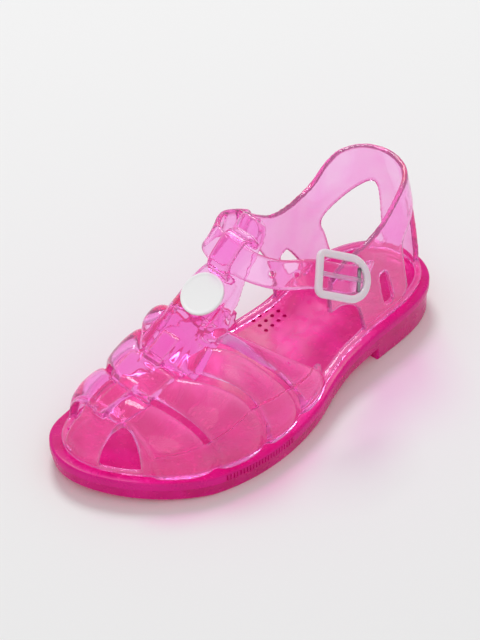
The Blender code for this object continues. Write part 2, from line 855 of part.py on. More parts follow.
def cage_plug(name, outline, side):
    """A cutter through the cage's wall with the given outline, curved as the wall is."""
    flat = smooth_route(list(outline) + [outline[0]], 2)[:-1]
    centre = np.mean(flat, axis=0)
    deep = WALL / 2 + 2.0
    rings = []
    for lift, scales in ((-deep, (0.05, 0.35, 0.7, 1.0)), (deep, (1.0, 0.7, 0.35, 0.05))):
        for scale in scales:
            spots = [centre + (point - centre) * scale for point in flat]
            rings.append([cage(side * turn, height, lift) for turn, height in spots])
    return tool(name, rings)


# Ankle strap, buckle and badge


def ankle_route():
    """Middle points, width directions and normals of the ankle strap, seated on the T-bar where it crosses."""
    spot, _, across = strap_crossing()
    seat = spot + across * (TBAR_THICKNESS / 2 + 2 * GAP + ANKLE_THICKNESS / 2)
    level = HEEL_HEIGHT + ANKLE_ROUTE[STRAP_AT_TBAR][2] * CAGE_HEIGHT
    points, widths = [], []
    for x, share, height, side, forward, up, held in smooth_route(ANKLE_ROUTE, 2):
        z = HEEL_HEIGHT + height * CAGE_HEIGHT + held * (seat[2] - level)
        points.append(np.array((x * BALL_WIDTH, HEEL_BACK - share * SOLE_LENGTH, z)))
        widths.append(unit(np.array((side, forward, up))))
    normals = []
    for i, width in enumerate(widths):
        run = unit(points[min(i + 1, len(points) - 1)] - points[max(i - 1, 0)])
        normals.append(unit(np.cross(width, run)))
        widths[i] = unit(np.cross(run, normals[i]))
    return points, widths, normals


def at_length(share):
    """Place, run, width direction and normal at a share of the strap's length."""
    points, widths, normals = ankle_route()
    steps = [np.linalg.norm(b - a) for a, b in zip(points, points[1:])]
    reach = share * sum(steps)
    for i, step in enumerate(steps):
        if reach <= step:
            t = reach / step
            place = points[i] * (1 - t) + points[i + 1] * t
            return place, unit(points[i + 1] - points[i]), widths[i], normals[i]
        reach -= step
    return points[-1], unit(points[-1] - points[-2]), widths[-1], normals[-1]


def outward_sign(normal):
    return 1.0 if normal[0] > 0 else -1.0


def make_ankle_strap(material):
    points, widths, normals = ankle_route()
    strap = loft("ankle_strap", ribbon(points, widths, normals, ANKLE_WIDTH, ANKLE_THICKNESS), parts, material)
    length = sum(np.linalg.norm(b - a) for a, b in zip(points, points[1:]))
    for k in range(4):
        place, run, width, normal = at_length(FIRST_HOLE_AT + k * HOLE_PITCH / length)
        rings = []
        for reach in (-ANKLE_THICKNESS, ANKLE_THICKNESS):
            turns = [2 * math.pi * i / 10 for i in range(10)]
            radius = HOLE_DIAMETER / 2
            rings.append([place + normal * reach + radius * (run * math.cos(a) + width * math.sin(a)) for a in turns])
        cut_from(strap, tool(f"strap_hole_{k}", rings))
    return strap


def buckle_frame_axes():
    place, run, width, normal = at_length(BUCKLE_AT)
    normal = normal * outward_sign(normal)
    width = width if width[2] > 0 else -width
    return place, run, width, normal


def d_outline(length, height, count=14):
    """A D in the plane of the strap: straight in front and round at the rear."""
    half = height / 2
    corner = height * 0.1
    straight = length - half
    points = [(-length / 2, -half + corner), (-length / 2 + corner, -half)]
    for k in range(count + 1):
        a = -math.pi / 2 + math.pi * k / count
        points.append((-length / 2 + straight + half * math.cos(a), half * math.sin(a)))
    points += [(-length / 2 + corner, half), (-length / 2, half - corner)]
    return points


def make_buckle(material):
    place, run, width, normal = buckle_frame_axes()
    low = ANKLE_THICKNESS / 2 + 3 * GAP
    high = low + BUCKLE_THICKNESS
    bevel = 0.5

    def ring(length, height, reach):
        return [place + run * a + width * b + normal * reach for a, b in d_outline(length, height)]

    outer = [
        ring(BUCKLE_LENGTH, BUCKLE_HEIGHT, low),
        ring(BUCKLE_LENGTH, BUCKLE_HEIGHT, high - bevel),
        ring(BUCKLE_LENGTH - 2 * bevel, BUCKLE_HEIGHT - 2 * bevel, high),
    ]
    frame = loft("buckle_frame", outer, parts, material)
    hole_length, hole_height = BUCKLE_LENGTH - 2 * BUCKLE_BORDER, BUCKLE_HEIGHT - 2 * BUCKLE_BORDER
    window = [ring(hole_length, hole_height, reach) for reach in (low - 1, high + 1)]
    cut_from(frame, tool("buckle_window", window))
    radius = PRONG_DIAMETER / 2
    turns = [2 * math.pi * i / 10 for i in range(10)]
    reach = hole_length / 2 - GAP
    stations = ((-reach, 0.45), (-reach + 0.8, 0.85), (-reach + 2.0, 1.0), (reach - 1.0, 1.0), (reach, 0.8))
    rings = []
    for a, scale in stations:
        centre = place + run * a + normal * (low + radius)
        rings.append([centre + radius * scale * (width * math.cos(t) + normal * math.sin(t)) for t in turns])
    prong = loft("buckle_prong", rings, parts, material)
    return frame, prong


def make_badge(material):
    rows = tbar_rows()
    middles = [tbar_frame(row) for row in rows]
    i = int(np.argmin([abs(row[0] - BADGE_AT) for row in rows]))
    run = unit(middles[i + 1] - middles[i - 1])
    normal = np.cross((1, 0, 0), run)
    low = TBAR_THICKNESS / 2 + 3 * GAP
    turns = [2 * math.pi * k / 32 for k in range(32)]
    rings = []
    for height, inset in ((0.0, 0.0), (BADGE_THICKNESS - 0.5, 0.0), (BADGE_THICKNESS, 0.5)):
        radius = BADGE_DIAMETER / 2 - inset
        centre = middles[i] + normal * (low + height)
        rings.append([centre + radius * (np.array((1, 0, 0)) * math.cos(t) + run * math.sin(t)) for t in turns])
    return loft("badge", rings, parts, material)


def make_upper():
    upper = cage_shell()
    cut_from(
        upper,
        cage_plug("outer_opening", OUTER_OPENING, 1),
        cage_plug("inner_opening", INNER_OPENING, -1),
        cage_plug("outer_front", OUTER_FRONT, 1),
        cage_plug("inner_front", INNER_FRONT, -1),
        cage_plug("outer_slot", OUTER_SLOT, 1),
        cage_plug("inner_slot", INNER_SLOT, -1),
    )
    cap = toe_dome("toe_cap", LEDGE, 0.0, CAP_FROM, 0.0)
    cut_from(cap, toe_dome("toe_cap_inside", LEDGE + WALL, WALL, CAP_FROM - 0.02, CAP_SINK))
    add_to(upper, foot_band(), skirt("outer_skirt", 1), skirt("inner_skirt", -1), cap)
    for k, (rear, front) in enumerate(zip(VAMP_LINES, VAMP_LINES[1:])):
        add_to(upper, vamp_strap(f"vamp_strap_{k}", rear, front))
    shares = np.linspace(WEAVE[0][0], WEAVE[-1][0], 23)
    lifts = [along(WEAVE, share)[0] * WALL for share in shares]
    add_to(upper, crown_strip("woven_band", shares, lifts, WEAVE_HALF_ANGLE, WALL))
    for k, (start, end) in enumerate(RIBS):
        shares = np.linspace(start, end, 6)
        add_to(upper, crown_strip(f"rib_{k}", shares, [WALL * 1.7] * 6, RIB_HALF_ANGLE, WALL * 2.1))
    add_to(upper, tbar_plate(), tbar_loop())
    cut_from(upper, toe_arch("outer_arch", 1), toe_arch("inner_arch", -1))
    return upper


clear_scene()
parts = new_collection("jelly_sandal")
tools = new_collection("tools")
upper_material = plastic("clear pink PVC", PALE_PINK, 0.12, 0.6)
make_sole(plastic("clear pink PVC, thick", PINK, 0.15, 0.4))
make_upper()
make_ankle_strap(upper_material)
make_buckle(plastic("frosted plastic", FROSTED, 0.3, 0.3))
make_badge(plastic("white enamel", WHITE, 0.25, 0.0))
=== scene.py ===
"""Looks of the jelly sandal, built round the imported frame: clear PVC mouldings, buckle, badge and studio.

+Z is up, -Y points to the toe and +X to the wearer's left. The origin is on the floor under the heel.
Sizes are in millimetres, as in the part's source, and become metres in each mesh.
"""

import json
import math

import bmesh
import bpy
import numpy as np
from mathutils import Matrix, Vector

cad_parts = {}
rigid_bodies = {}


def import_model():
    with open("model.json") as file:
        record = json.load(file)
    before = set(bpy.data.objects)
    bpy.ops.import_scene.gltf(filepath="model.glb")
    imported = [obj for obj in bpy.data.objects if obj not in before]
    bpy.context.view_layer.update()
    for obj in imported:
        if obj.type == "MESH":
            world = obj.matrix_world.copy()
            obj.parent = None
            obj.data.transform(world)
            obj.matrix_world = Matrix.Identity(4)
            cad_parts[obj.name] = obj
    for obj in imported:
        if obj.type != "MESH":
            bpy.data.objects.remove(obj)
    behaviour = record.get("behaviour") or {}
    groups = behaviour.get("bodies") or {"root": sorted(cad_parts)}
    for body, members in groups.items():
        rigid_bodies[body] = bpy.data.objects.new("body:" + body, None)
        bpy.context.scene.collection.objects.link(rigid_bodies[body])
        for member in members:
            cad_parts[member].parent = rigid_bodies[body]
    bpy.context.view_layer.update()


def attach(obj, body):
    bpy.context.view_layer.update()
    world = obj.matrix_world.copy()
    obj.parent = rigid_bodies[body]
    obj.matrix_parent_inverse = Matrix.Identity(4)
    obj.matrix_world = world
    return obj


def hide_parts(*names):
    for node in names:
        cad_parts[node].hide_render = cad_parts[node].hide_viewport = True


MM = 0.001
GAP = 0.3  # between two pieces that meet

# Sole
SOLE_LENGTH = 187.0
BALL_WIDTH = 73.5
HEEL_BACK = 21.0  # the heel's back lies this far behind the origin
HEEL_HEIGHT = 16.0
ARCH_RISE = 6.0
TOE_SPRING = 3.5
HEEL_BREAST = 46.0  # from the heel's back to the step in front of the heel
BREAST_SLOPE = 0.6
TREAD_CHAMFER = 1.2
WELT_HEIGHT = 3.6
WELT_STEP = 0.8
LEDGE = 3.6  # from the sole's edge in to the upper
FOOTBED_EDGE = 7.2  # from the sole's edge in to the footbed
FOOTBED_DIP = 1.6
SOLE_WALL = 4.2
FOOTBED_THICKNESS = 4.0
CELL_PITCH = 12.0
CELL_RIB = 3.0
REST_PAD_RADIUS = 8.0
FOREFOOT_PAD_CELLS = 8  # the forefoot's pad is this many cells in front of the heel's
KNURL_PITCH = 1.5
KNURL_DEPTH = 0.55
KNURL_HEIGHT = 2.6
KNURL_FROM = 112.0  # the knurled stretch, from the heel's back
KNURL_TO = 146.0

# Upper
WALL = 2.3
INSTEP_RISE = 40.0  # crown of the rear vamp strap above the sole's edge
STRAP_GAP = 2.4  # between two vamp straps
STRAP_THICKNESS = 2.2
STRAP_CROWN = 1.5  # how far a strap's middle stands above its edges
STRAP_STEP = 0.7  # how far a strap's front edge stands above its rear edge
STRAP_LIFT = 0.3  # of a strap's face over the last, in wall thicknesses
STRAP_ROUNDING = 0.8  # how far its edges are rounded off, over the last tenth of its half width
STRAP_STATIONS = (-1.0, -0.93, -0.75, -0.5, -0.2, 0.1, 0.4, 0.65, 0.85, 0.95, 1.0)
LINE_BEND = 1.35  # how late a line between two straps turns from the crown to its foot
SKIRT_ANGLE = 24.0  # degrees up the last where the vamp straps part
SKIRT_START = 0.012  # from the rear strap's foot, as a share of the length
SKIRT_LAP = 0.03  # how far it runs into the toe cap, likewise
SKIRT_LIFT = 0.25
CAP_FROM = 0.885  # share of the length where the toe cap starts
CAP_LAP = 0.02  # how much further back its inside is cut
CAP_SINK = 6.0  # how far that cut reaches under the cap's edge
CAP_END = 0.985  # the turn at which its tip is closed
ARCH_HALF_WIDTH = 8.4
ARCH_HEIGHT = 13.5
ARCH_SILL = 2.2
ARCH_SHARES = (0.925, 0.945, 0.965)  # of the length: behind its middle, at it and ahead of it
ARCH_REACH = (4.0, -15.0)  # how far its cutter goes out from the last's foot, and in
CAGE_HEIGHT = 60.0
CAGE_LEAN = 11.0  # the heel strap's top lies this far in front of its foot
CAGE_TAPER = 0.13
CAGE_BACK = 0.27  # share of the length over which the lean fades
CAGE_CENTRE_Y = -20.0  # the cage's wall is lifted away from here
FOOT_BAND = 2.4
FOOT_BAND_TO = 0.47  # share of the length where it ends
TBAR_WIDTH = 26.0
TBAR_TOP = 84.0
TBAR_THICKNESS = 2.4
TBAR_FLAT = 16.0  # the level middle of the bar, which carries the badge
TBAR_DROP = 3.4  # how far the bar's edges hang below its middle
TBAR_FLAT_MOST = 0.7  # of its half width, where it is narrow
TBAR_X = -4.0
LOOP_WIDTH = 11.0
LOOP_THICKNESS = 2.2
CORNER_TRIM = 0.5  # of a strap's corners

# Ankle strap, buckle and badge
ANKLE_WIDTH = 12.0
ANKLE_THICKNESS = 2.2
HOLE_DIAMETER = 2.4
HOLE_PITCH = 10.0
BUCKLE_LENGTH = 26.5
BUCKLE_HEIGHT = 19.6
BUCKLE_BORDER = 3.1
BUCKLE_THICKNESS = 2.4
PRONG_DIAMETER = 2.0
BADGE_DIAMETER = 18.4
BADGE_THICKNESS = 1.6
BADGE_AT = 0.622  # share of the length from the heel

# Share of the length from the heel, then the middle and half the width as shares of the ball's width.
OUTLINE = (
    (0.0, -0.011, 0.345), (0.05, -0.01, 0.345), (0.15, -0.01, 0.347), (0.25, 0.009, 0.336),
    (0.33, 0.033, 0.332), (0.4, 0.05, 0.356), (0.5, 0.069, 0.424), (0.6, 0.059, 0.476),
    (0.7, 0.035, 0.5), (0.8, 0.003, 0.485), (0.88, -0.045, 0.438), (0.95, -0.105, 0.39),
    (1.0, -0.14, 0.33),
)

# Share of the length, then the top edge as a share of the heel's height, and the underside in front of
# the heel as shares of the arch's rise and of the toe spring.
PROFILE = (
    (0.0, 1.0, 1.0, 0.0), (0.22, 1.0, 1.0, 0.0), (0.34, 0.9, 0.82, 0.0),
    (0.45, 0.76, 0.4, 0.0), (0.56, 0.64, 0.06, 0.0), (0.62, 0.6, 0.0, 0.0),
    (0.74, 0.6, 0.0, 0.0), (0.84, 0.63, 0.0, 0.2), (0.93, 0.69, 0.0, 0.58),
    (1.0, 0.76, 0.0, 1.0),
)

# Share of the length, then the last's crown above the sole's edge as a share of the instep's rise, and
# the crown's place across the last, as a share of its half width towards the inner side.
CROWN = (
    (0.4, 0.5, 0.05), (0.48, 0.62, 0.08), (0.55, 0.8, 0.12), (0.61, 0.96, 0.16), (0.66, 1.05, 0.18),
    (0.715, 0.88, 0.2), (0.75, 0.76, 0.2), (0.8, 0.63, 0.2), (0.845, 0.54, 0.18),
    (0.89, 0.5, 0.14), (0.93, 0.49, 0.08), (1.0, 0.48, 0.0),
)

# The lines between the vamp's straps from the rear to the front: share of the length at the crown, at
# the outer foot and at the inner foot.
VAMP_LINES = (
    (0.66, 0.432, 0.44), (0.714, 0.545, 0.545), (0.768, 0.66, 0.655), (0.832, 0.785, 0.78),
    (0.902, 0.905, 0.9),
)

# The woven band along the crown: share of the length and its height over the last, in wall thicknesses.
WEAVE = (
    (0.69, 1.1), (0.722, 1.1), (0.734, 0.05), (0.756, 0.05), (0.768, 1.5), (0.826, 1.5),
    (0.838, 0.05), (0.89, 0.05), (0.905, 0.4),
)
WEAVE_HALF_ANGLE = 16.0
RIB_HALF_ANGLE = 4.4
BAND_DEPTH = 1.5  # in wall thicknesses, as the two below
RIB_LIFT = 1.7
RIB_DEPTH = 2.1
RIBS = ((0.705, 0.78), (0.818, 0.915))

# T-bar: share of the length, height as a share of the way from its foot to its top, and width as a
# share of the bar's.
TBAR = (
    (0.752, 0.0, 1.0), (0.715, 0.115, 1.0), (0.69, 0.205, 1.0), (0.645, 0.328, 0.98),
    (0.6, 0.451, 0.93), (0.565, 0.551, 0.74), (0.545, 0.626, 0.66), (0.51, 0.771, 0.6),
    (0.49, 0.891, 0.55), (0.482, 0.97, 0.42), (0.48, 1.0, 0.2),
)
TBAR_FOOT = 0.802  # the bar's foot above the sole's edge, as a share of the instep's rise

# The loop on the T-bar: distance up the bar from the strap's middle and out from the bar's face, as
# shares of the strap's width and of the loop's rise.
LOOP = (
    (0.74, -0.35), (0.8, 0.45), (0.64, 0.92), (0.34, 1.06), (0.0, 1.08), (-0.36, 1.02), (-0.62, 0.62),
    (-0.69, -0.35),
)

# Heel cage: turn from the back (0) to the toe (1) and the rim's height as a share of the cage's.
OUTER_RIM = (
    (0.0, 1.0), (0.1, 0.99), (0.2, 0.95), (0.25, 0.88), (0.3, 0.785), (0.35, 0.745), (0.44, 0.755),
)
INNER_RIM = (
    (0.0, 1.0), (0.1, 0.99), (0.2, 0.96), (0.25, 0.89), (0.3, 0.795), (0.35, 0.775), (0.4, 0.805),
    (0.44, 0.91), (0.465, 1.0),
)

# Outlines cut from the cage, as turn and height: the side openings, the space in front of each quarter
# and the quarters' slots.
OUTER_OPENING = (
    (0.245, 0.045), (0.222, 0.085), (0.219, 0.18), (0.226, 0.38), (0.224, 0.52), (0.19, 0.6),
    (0.14, 0.665), (0.095, 0.69), (0.08, 0.62), (0.08, 0.4), (0.083, 0.15), (0.09, 0.045),
)
INNER_OPENING = (
    (0.232, 0.045), (0.24, 0.12), (0.252, 0.26), (0.266, 0.4), (0.245, 0.465), (0.195, 0.54),
    (0.14, 0.61), (0.095, 0.65), (0.08, 0.58), (0.08, 0.4), (0.083, 0.15), (0.09, 0.045),
)
OUTER_FRONT = (
    (0.348, 0.045), (0.356, 0.18), (0.368, 0.3), (0.395, 0.4), (0.425, 0.46), (0.47, 0.5),
    (0.5, 0.3), (0.5, 0.045), (0.42, 0.045),
)
INNER_FRONT = (
    (0.388, 0.045), (0.392, 0.16), (0.402, 0.34), (0.42, 0.52), (0.442, 0.66), (0.48, 0.76),
    (0.52, 0.4), (0.52, 0.045), (0.44, 0.045),
)
OUTER_SLOT = ((0.276, 0.1), (0.268, 0.14), (0.284, 0.37), (0.296, 0.4), (0.306, 0.37), (0.294, 0.14))
INNER_SLOT = ((0.33, 0.1), (0.321, 0.14), (0.36, 0.38), (0.372, 0.41), (0.381, 0.37), (0.35, 0.13))
CAGE_CUTS = (
    ("opening", OUTER_OPENING, INNER_OPENING),
    ("front", OUTER_FRONT, INNER_FRONT),
    ("slot", OUTER_SLOT, INNER_SLOT),
)

# The ankle strap's middle line from the inner quarter to the buckle, as shares of the ball's width
# across, of the length from the heel and of the cage's height over the heel, then the direction of its
# width across, along and up, and how far the T-bar holds it.
ANKLE_ROUTE = (
    (-0.282, 0.415, 0.8, 0.0, 0.55, 0.83, 0.0), (-0.286, 0.45, 0.862, 0.0, 0.58, 0.81, 0.0),
    (-0.288, 0.49, 0.915, 0.0, 0.64, 0.77, 0.5), (-0.24, 0.53, 0.938, 0.0, 0.7, 0.71, 1.0),
    (-0.14, 0.548, 0.938, 0.0, 0.77, 0.64, 1.0), (-0.056, 0.55, 0.934, 0.0, 0.78, 0.62, 1.0),
    (0.03, 0.548, 0.94, 0.0, 0.78, 0.62, 1.0), (0.11, 0.534, 0.91, -0.05, 0.68, 0.73, 1.0),
    (0.205, 0.498, 0.856, -0.34, 0.6, 0.72, 0.5), (0.314, 0.45, 0.848, -0.5, 0.56, 0.66, 0.0),
    (0.354, 0.402, 0.762, -0.5, 0.56, 0.66, 0.0), (0.386, 0.362, 0.69, -0.48, 0.56, 0.68, 0.0),
    (0.36, 0.315, 0.612, -0.22, 0.52, 0.82, 0.0), (0.33, 0.282, 0.56, 0.0, 0.48, 0.88, 0.0),
)
STRAP_AT_TBAR = 5  # the row of the route that crosses the T-bar
BUCKLE_AT = 0.785  # share of the strap's length
FIRST_HOLE_AT = 0.52  # likewise
HOLES = 4

# Details that the part's source leaves out
VENT_ROWS = 4
VENT_COLUMNS = 3
VENT_PITCH = 3.6
VENT_DIAMETER = 1.7
VENT_DEPTH = 1.6
VENT_X = -14.0
VENT_Y = -49.0
STRAP_FOOT_SHIFT = 1.2  # how far the strap's foot reaches in to the inner quarter
STRAP_FOOT_ROWS = 16  # of the strap's route, which the foot follows
FUSED_FROM = 0.62  # share of the length from which the bar's foot is one body with the vamp
FUSED_RUN = 0.03
FUSED_DEPTH = 2.2
GROOVE_DEPTH = 1.1  # of the groove that sets off the strip at each side of the bar
GROOVE_ROOM = 3.0  # the least width beside the bar's flat middle that takes a groove
GROOVE_RUN = 2.0
GROOVE_FACE = ((-0.6, 0.0, 0), (0.3, 0.01, 1), (0.9, 0.03, 1), (1.7, 0.1, 0))  # out, drop, grooved or not
SKIN_VOXEL = 0.5
SKIN_ROUNDS = 7  # of smoothing
SKIN_MOST = 190000  # triangles
SHARP_ANGLE = 38.0  # degrees between two faces of the sole that stay a sharp edge

# Rounded edges of the sole: inset from its outline and height over the underside, then inset and depth
# under the top edge.
TREAD_EDGE = ((1.2, 0.0), (0.6, 0.12), (0.2, 0.45), (0.0, 1.2))
WELT_EDGE = (
    (0.0, WELT_HEIGHT + WELT_STEP), (-0.2, WELT_HEIGHT + 0.35), (-WELT_STEP, WELT_HEIGHT - 0.1),
    (-WELT_STEP, 0.9), (-0.62, 0.4), (-0.2, 0.1), (0.4, 0.0), (FOOTBED_EDGE - 1.2, 0.0),
    (FOOTBED_EDGE, 0.15),
)

# Badge: inset from its rim and height as a share of its thickness.
BADGE_PROFILE = (
    (0.25, 0.0), (0.0, 0.18), (0.0, 0.8), (0.12, 0.94),
    (0.4, 1.0), (0.9, 1.0), (1.25, 0.9), (1.8, 0.86),
)

# A strip along the crown: place across it and how far its face is rounded off there.
STRIP_SECTION = ((-1.0, 0.6), (-0.9, 0.1), (-0.5, 0.0), (0.0, 0.0), (0.5, 0.0), (0.9, 0.1), (1.0, 0.6))

# The last's section: the powers of the cosine and the sine that make its outer and inner half full.
OUTER_POWERS = (0.92, 0.88)
INNER_POWERS = (0.66, 0.76)
TOE_FROM = 0.83  # share of the length from which the crown falls to the toe
TOE_RUN = 0.17
TOE_POWER = 2.6
END_POWER = 7  # how blunt the outline's ends are

# Stations along the sole, and of the smaller curves
SOLE_STATIONS = 90
CAVITY_STATIONS = 60
FOOTBED_COLUMNS = 24
RAIL_SIDES = 20

# Colours as linear RGB with alpha, and the plastics
UPPER_COLOURS = ((1.0, 0.66, 0.94, 1.0), (1.0, 0.78, 0.97, 1.0), (0.85, 0.01, 0.36, 1.0))  # dark, light, then a deeper rim pink: painted shade at edges and slants, also the painted glow's colour
# The sole's colours in the same order: its rim pink is likewise painted shade at edges and slants and the
# painted glow's colour
SOLE_COLOURS = ((0.64, 0.002, 0.19, 1.0), (0.78, 0.005, 0.27, 1.0), (0.82, 0.008, 0.3, 1.0))
SHADE_RIM_POINTS = (0.505, 0.57)  # pointiness of the skin where the painted rim shade starts and is full
SHADE_RIM_FACING = (0.68, 0.98)  # the same for the slant at which the skin is seen, where the painted rim shade also deepens the colour
PAINTED_GLOW = 0.025  # painted glow: emission in the rim pink, standing in for light scattered inside the cloudy plastic
PVC_IOR = 1.37
PVC_SPECULAR = 0.35
CLOUD_SCALE = 90.0
RIPPLE_SCALE = 150.0
RIPPLE_DEPTH = 0.0006  # in metres, as the grain's
GRAIN_SCALE = 260.0
GRAIN_DEPTH = 0.0002
# Transmission, roughness, the colour and density of absorption, ripple, and the tint and the share of
# the light that is let through to what lies below.
UPPER_PVC = (0.94, 0.055, (1.0, 0.4, 0.86, 1.0), 130.0, 0.1, (1.0, 0.7, 0.94, 1.0), 1.0)
SOLE_PVC = (0.2, 0.26, (1.0, 0.25, 0.62, 1.0), 70.0, 0.12, (1.0, 0.35, 0.65, 1.0), 0.35)

# Camera and light, in metres and degrees
VIEW_AZIMUTH = 44.8
VIEW_ELEVATION = 40.4
VIEW_DISTANCE = 1.5
VIEW_HEIGHT = 0.2555  # what the frame spans at the shoe
VIEW_CENTRE = (0.0, -0.07, 0.035)
VIEW_RIGHT = -0.0070
VIEW_UP = -0.0011
WORLD_STRENGTH = 0.56
LAMPS = (
    ("key", (-0.9, 0.5, 1.6), 0.7, 15.5),
    ("fill", (1.2, -1.2, 1.4), 1.4, 6.0),
)
LAMP_TARGET = (0.0, -0.07, 0.02)
FLOOR_SIZE = 6.0


def new_collection(name):
    collection = bpy.data.collections.new(name)
    bpy.context.scene.collection.children.link(collection)
    return collection


def new_object(name, points, faces, collection, material=None):
    """A mesh object from points in millimetres."""
    mesh = bpy.data.meshes.new(name)
    mesh.from_pydata([tuple(float(v) * MM for v in point) for point in points], [], faces)
    mesh.shade_smooth()
    if material:
        mesh.materials.append(material)
    obj = bpy.data.objects.new(name, mesh)
    collection.objects.link(obj)
    return obj


def outward(points, faces):
    """The faces, turned round if they enclose a negative volume."""
    points = np.asarray(points, float)
    volume = 0.0
    for face in faces:
        first = points[face[0]]
        for b, c in zip(face[1:-1], face[2:]):
            volume += np.dot(first, np.cross(points[b], points[c]))
    return faces if volume > 0 else [tuple(reversed(face)) for face in faces]


def wall_faces(rings, closed=False):
    """Faces between neighbouring rings, also from the last to the first if closed."""
    count = len(rings[0])
    faces = []
    for row in range(len(rings) if closed else len(rings) - 1):
        low, high = row * count, (row + 1) % len(rings) * count
        for i in range(count):
            j = (i + 1) % count
            faces.append((low + i, high + i, high + j, low + j))
    return faces


def loft(name, rings, collection, material=None, closed=False):
    """A solid through rings of equal point counts, with flat ends unless it closes on itself."""
    count = len(rings[0])
    points = [point for ring in rings for point in ring]
    ends = [tuple(range(count)), tuple(range(len(points) - 1, len(points) - count - 1, -1))]
    faces = wall_faces(rings, True) if closed else ends + wall_faces(rings)
    return new_object(name, points, outward(points, faces), collection, material)


def tool(name, rings):
    """A loft that only cuts or adds to a piece."""
    return loft(name, rings, tools)


def cut_from(body, *others):
    for other in others:
        modifier = body.modifiers.new(other.name, "BOOLEAN")
        modifier.operation = "DIFFERENCE"
        modifier.solver = "EXACT"
        modifier.object = other


def along(table, share):
    """The columns of a table at a share, by cubics that stay flat where two rows are alike."""
    keys = np.array([row[0] for row in table])
    values = np.array([row[1:] for row in table], float)
    share = min(max(share, keys[0]), keys[-1])
    i = min(int(np.searchsorted(keys, share, side="right")) - 1, len(keys) - 2)
    steps = np.diff(keys)[:, None]
    secants = np.diff(values, axis=0) / steps

    def slope(k):
        if k in (0, len(keys) - 1):
            return secants[min(k, len(secants) - 1)]
        before, after = secants[k - 1], secants[k]
        alike = before * after > 0
        safe = np.where(alike, before + after, 1.0)
        return np.where(alike, 2 * before * after / safe, 0.0)

    width = steps[i]
    t = (share - keys[i]) / width
    return (
        values[i] * (1 + 2 * t) * (1 - t) ** 2
        + values[i + 1] * t**2 * (3 - 2 * t)
        + slope(i) * width * t * (1 - t) ** 2
        - slope(i + 1) * width * t**2 * (1 - t)
    )


def smooth_route(points, steps):
    """Catmull-Rom points through rows of numbers, with steps between two rows."""
    rows = np.array(points, float)
    rows = np.vstack([2 * rows[0] - rows[1], rows, 2 * rows[-1] - rows[-2]])
    route = []
    for a, b, c, d in zip(rows, rows[1:], rows[2:], rows[3:]):
        for k in range(steps):
            t = k / steps
            bend = (2 * a - 5 * b + 4 * c - d) * t**2 + (3 * b - a - 3 * c + d) * t**3
            route.append(0.5 * (2 * b + (c - a) * t + bend))
    route.append(rows[-2])
    return route


def unit(vector):
    return vector / np.linalg.norm(vector)


def run_at(route, i):
    """The direction of a route at one of its points, by the points beside it."""
    return unit(route[min(i + 1, len(route) - 1)] - route[max(i - 1, 0)])


def level_out(run, side):
    """The level direction square to a run, towards the outer (1) or the inner side (-1)."""
    out = np.array((-run[1], run[0]))
    return out if out[0] * side > 0 else -out


def circle(count, shift=0.0):
    return [2 * math.pi * (k + shift) / count for k in range(count)]


def ring_round(centre, radius, first, second, count):
    """Points round a circle in the plane of two directions."""
    return [centre + radius * (first * math.cos(a) + second * math.sin(a)) for a in circle(count)]


def run_of(turn):
    """Share of the sole's length at a turn, which goes from 0 at the heel's back to 1 at the toe."""
    return (1 - math.cos(math.pi * turn)) / 2


def edge(turn, side, inset=0.0):
    """A point of the outline moved in by inset, on the outer (1) or the inner side (-1)."""
    run = run_of(turn)
    y = HEEL_BACK - inset - run * (SOLE_LENGTH - 2 * inset)
    middle, half = along(OUTLINE, (HEEL_BACK - y) / SOLE_LENGTH) * BALL_WIDTH
    roundness = math.sqrt(max(0.0, 1 - abs(2 * run - 1) ** END_POWER))
    return middle + side * (half - inset) * roundness, y


def turn_at(y, inset=0.0):
    run = (HEEL_BACK - inset - y) / (SOLE_LENGTH - 2 * inset)
    return math.acos(1 - 2 * min(max(run, 0.0), 1.0)) / math.pi


def share_of(y):
    return (HEEL_BACK - y) / SOLE_LENGTH


def y_of(share):
    return HEEL_BACK - share * SOLE_LENGTH


def top_edge(y):
    return along(PROFILE, share_of(y))[0] * HEEL_HEIGHT


def underside(y, before_breast):
    if before_breast:
        return 0.0
    _, arch, spring = along(PROFILE, share_of(y))
    return arch * ARCH_RISE + spring * TOE_SPRING


def sole_turns():
    """Stations along the sole, with two at the heel breast."""
    even = [i / SOLE_STATIONS for i in range(SOLE_STATIONS + 1)]
    breast = [turn_at(HEEL_BACK - HEEL_BREAST + step) for step in (BREAST_SLOPE / 2, -BREAST_SLOPE / 2)]
    apart = [turn for turn in even if min(abs(turn - other) for other in breast) > 0.008]
    return sorted(apart + breast), breast[0]


def sole_ring(turns, breast, inset, height):
    """A closed ring round the sole: height is a function of y and of being behind the breast."""
    sides = [(turn, 1) for turn in turns] + [(turn, -1) for turn in turns[-2:0:-1]]
    ring = []
    for turn, side in sides:
        x, y = edge(turn, side, inset)
        ring.append((x, y, height(y, turn <= breast)))
    return ring


def cross_faces(last, count, start, inner, columns):
    """Faces across a ring of count points from start, whose inner points in between start at inner."""

    def index(row, column):
        if column == 0 or row in (0, last):
            return start + row
        if column == columns:
            return start + count - row
        return inner + (row - 1) * (columns - 1) + column - 1

    faces = []
    for row in range(last):
        for column in range(columns):
            near = (index(row, column), index(row + 1, column))
            far = (index(row + 1, column + 1), index(row, column + 1))
            faces.append(tuple(dict.fromkeys(near + far)))
    return [face for face in faces if len(face) > 2]


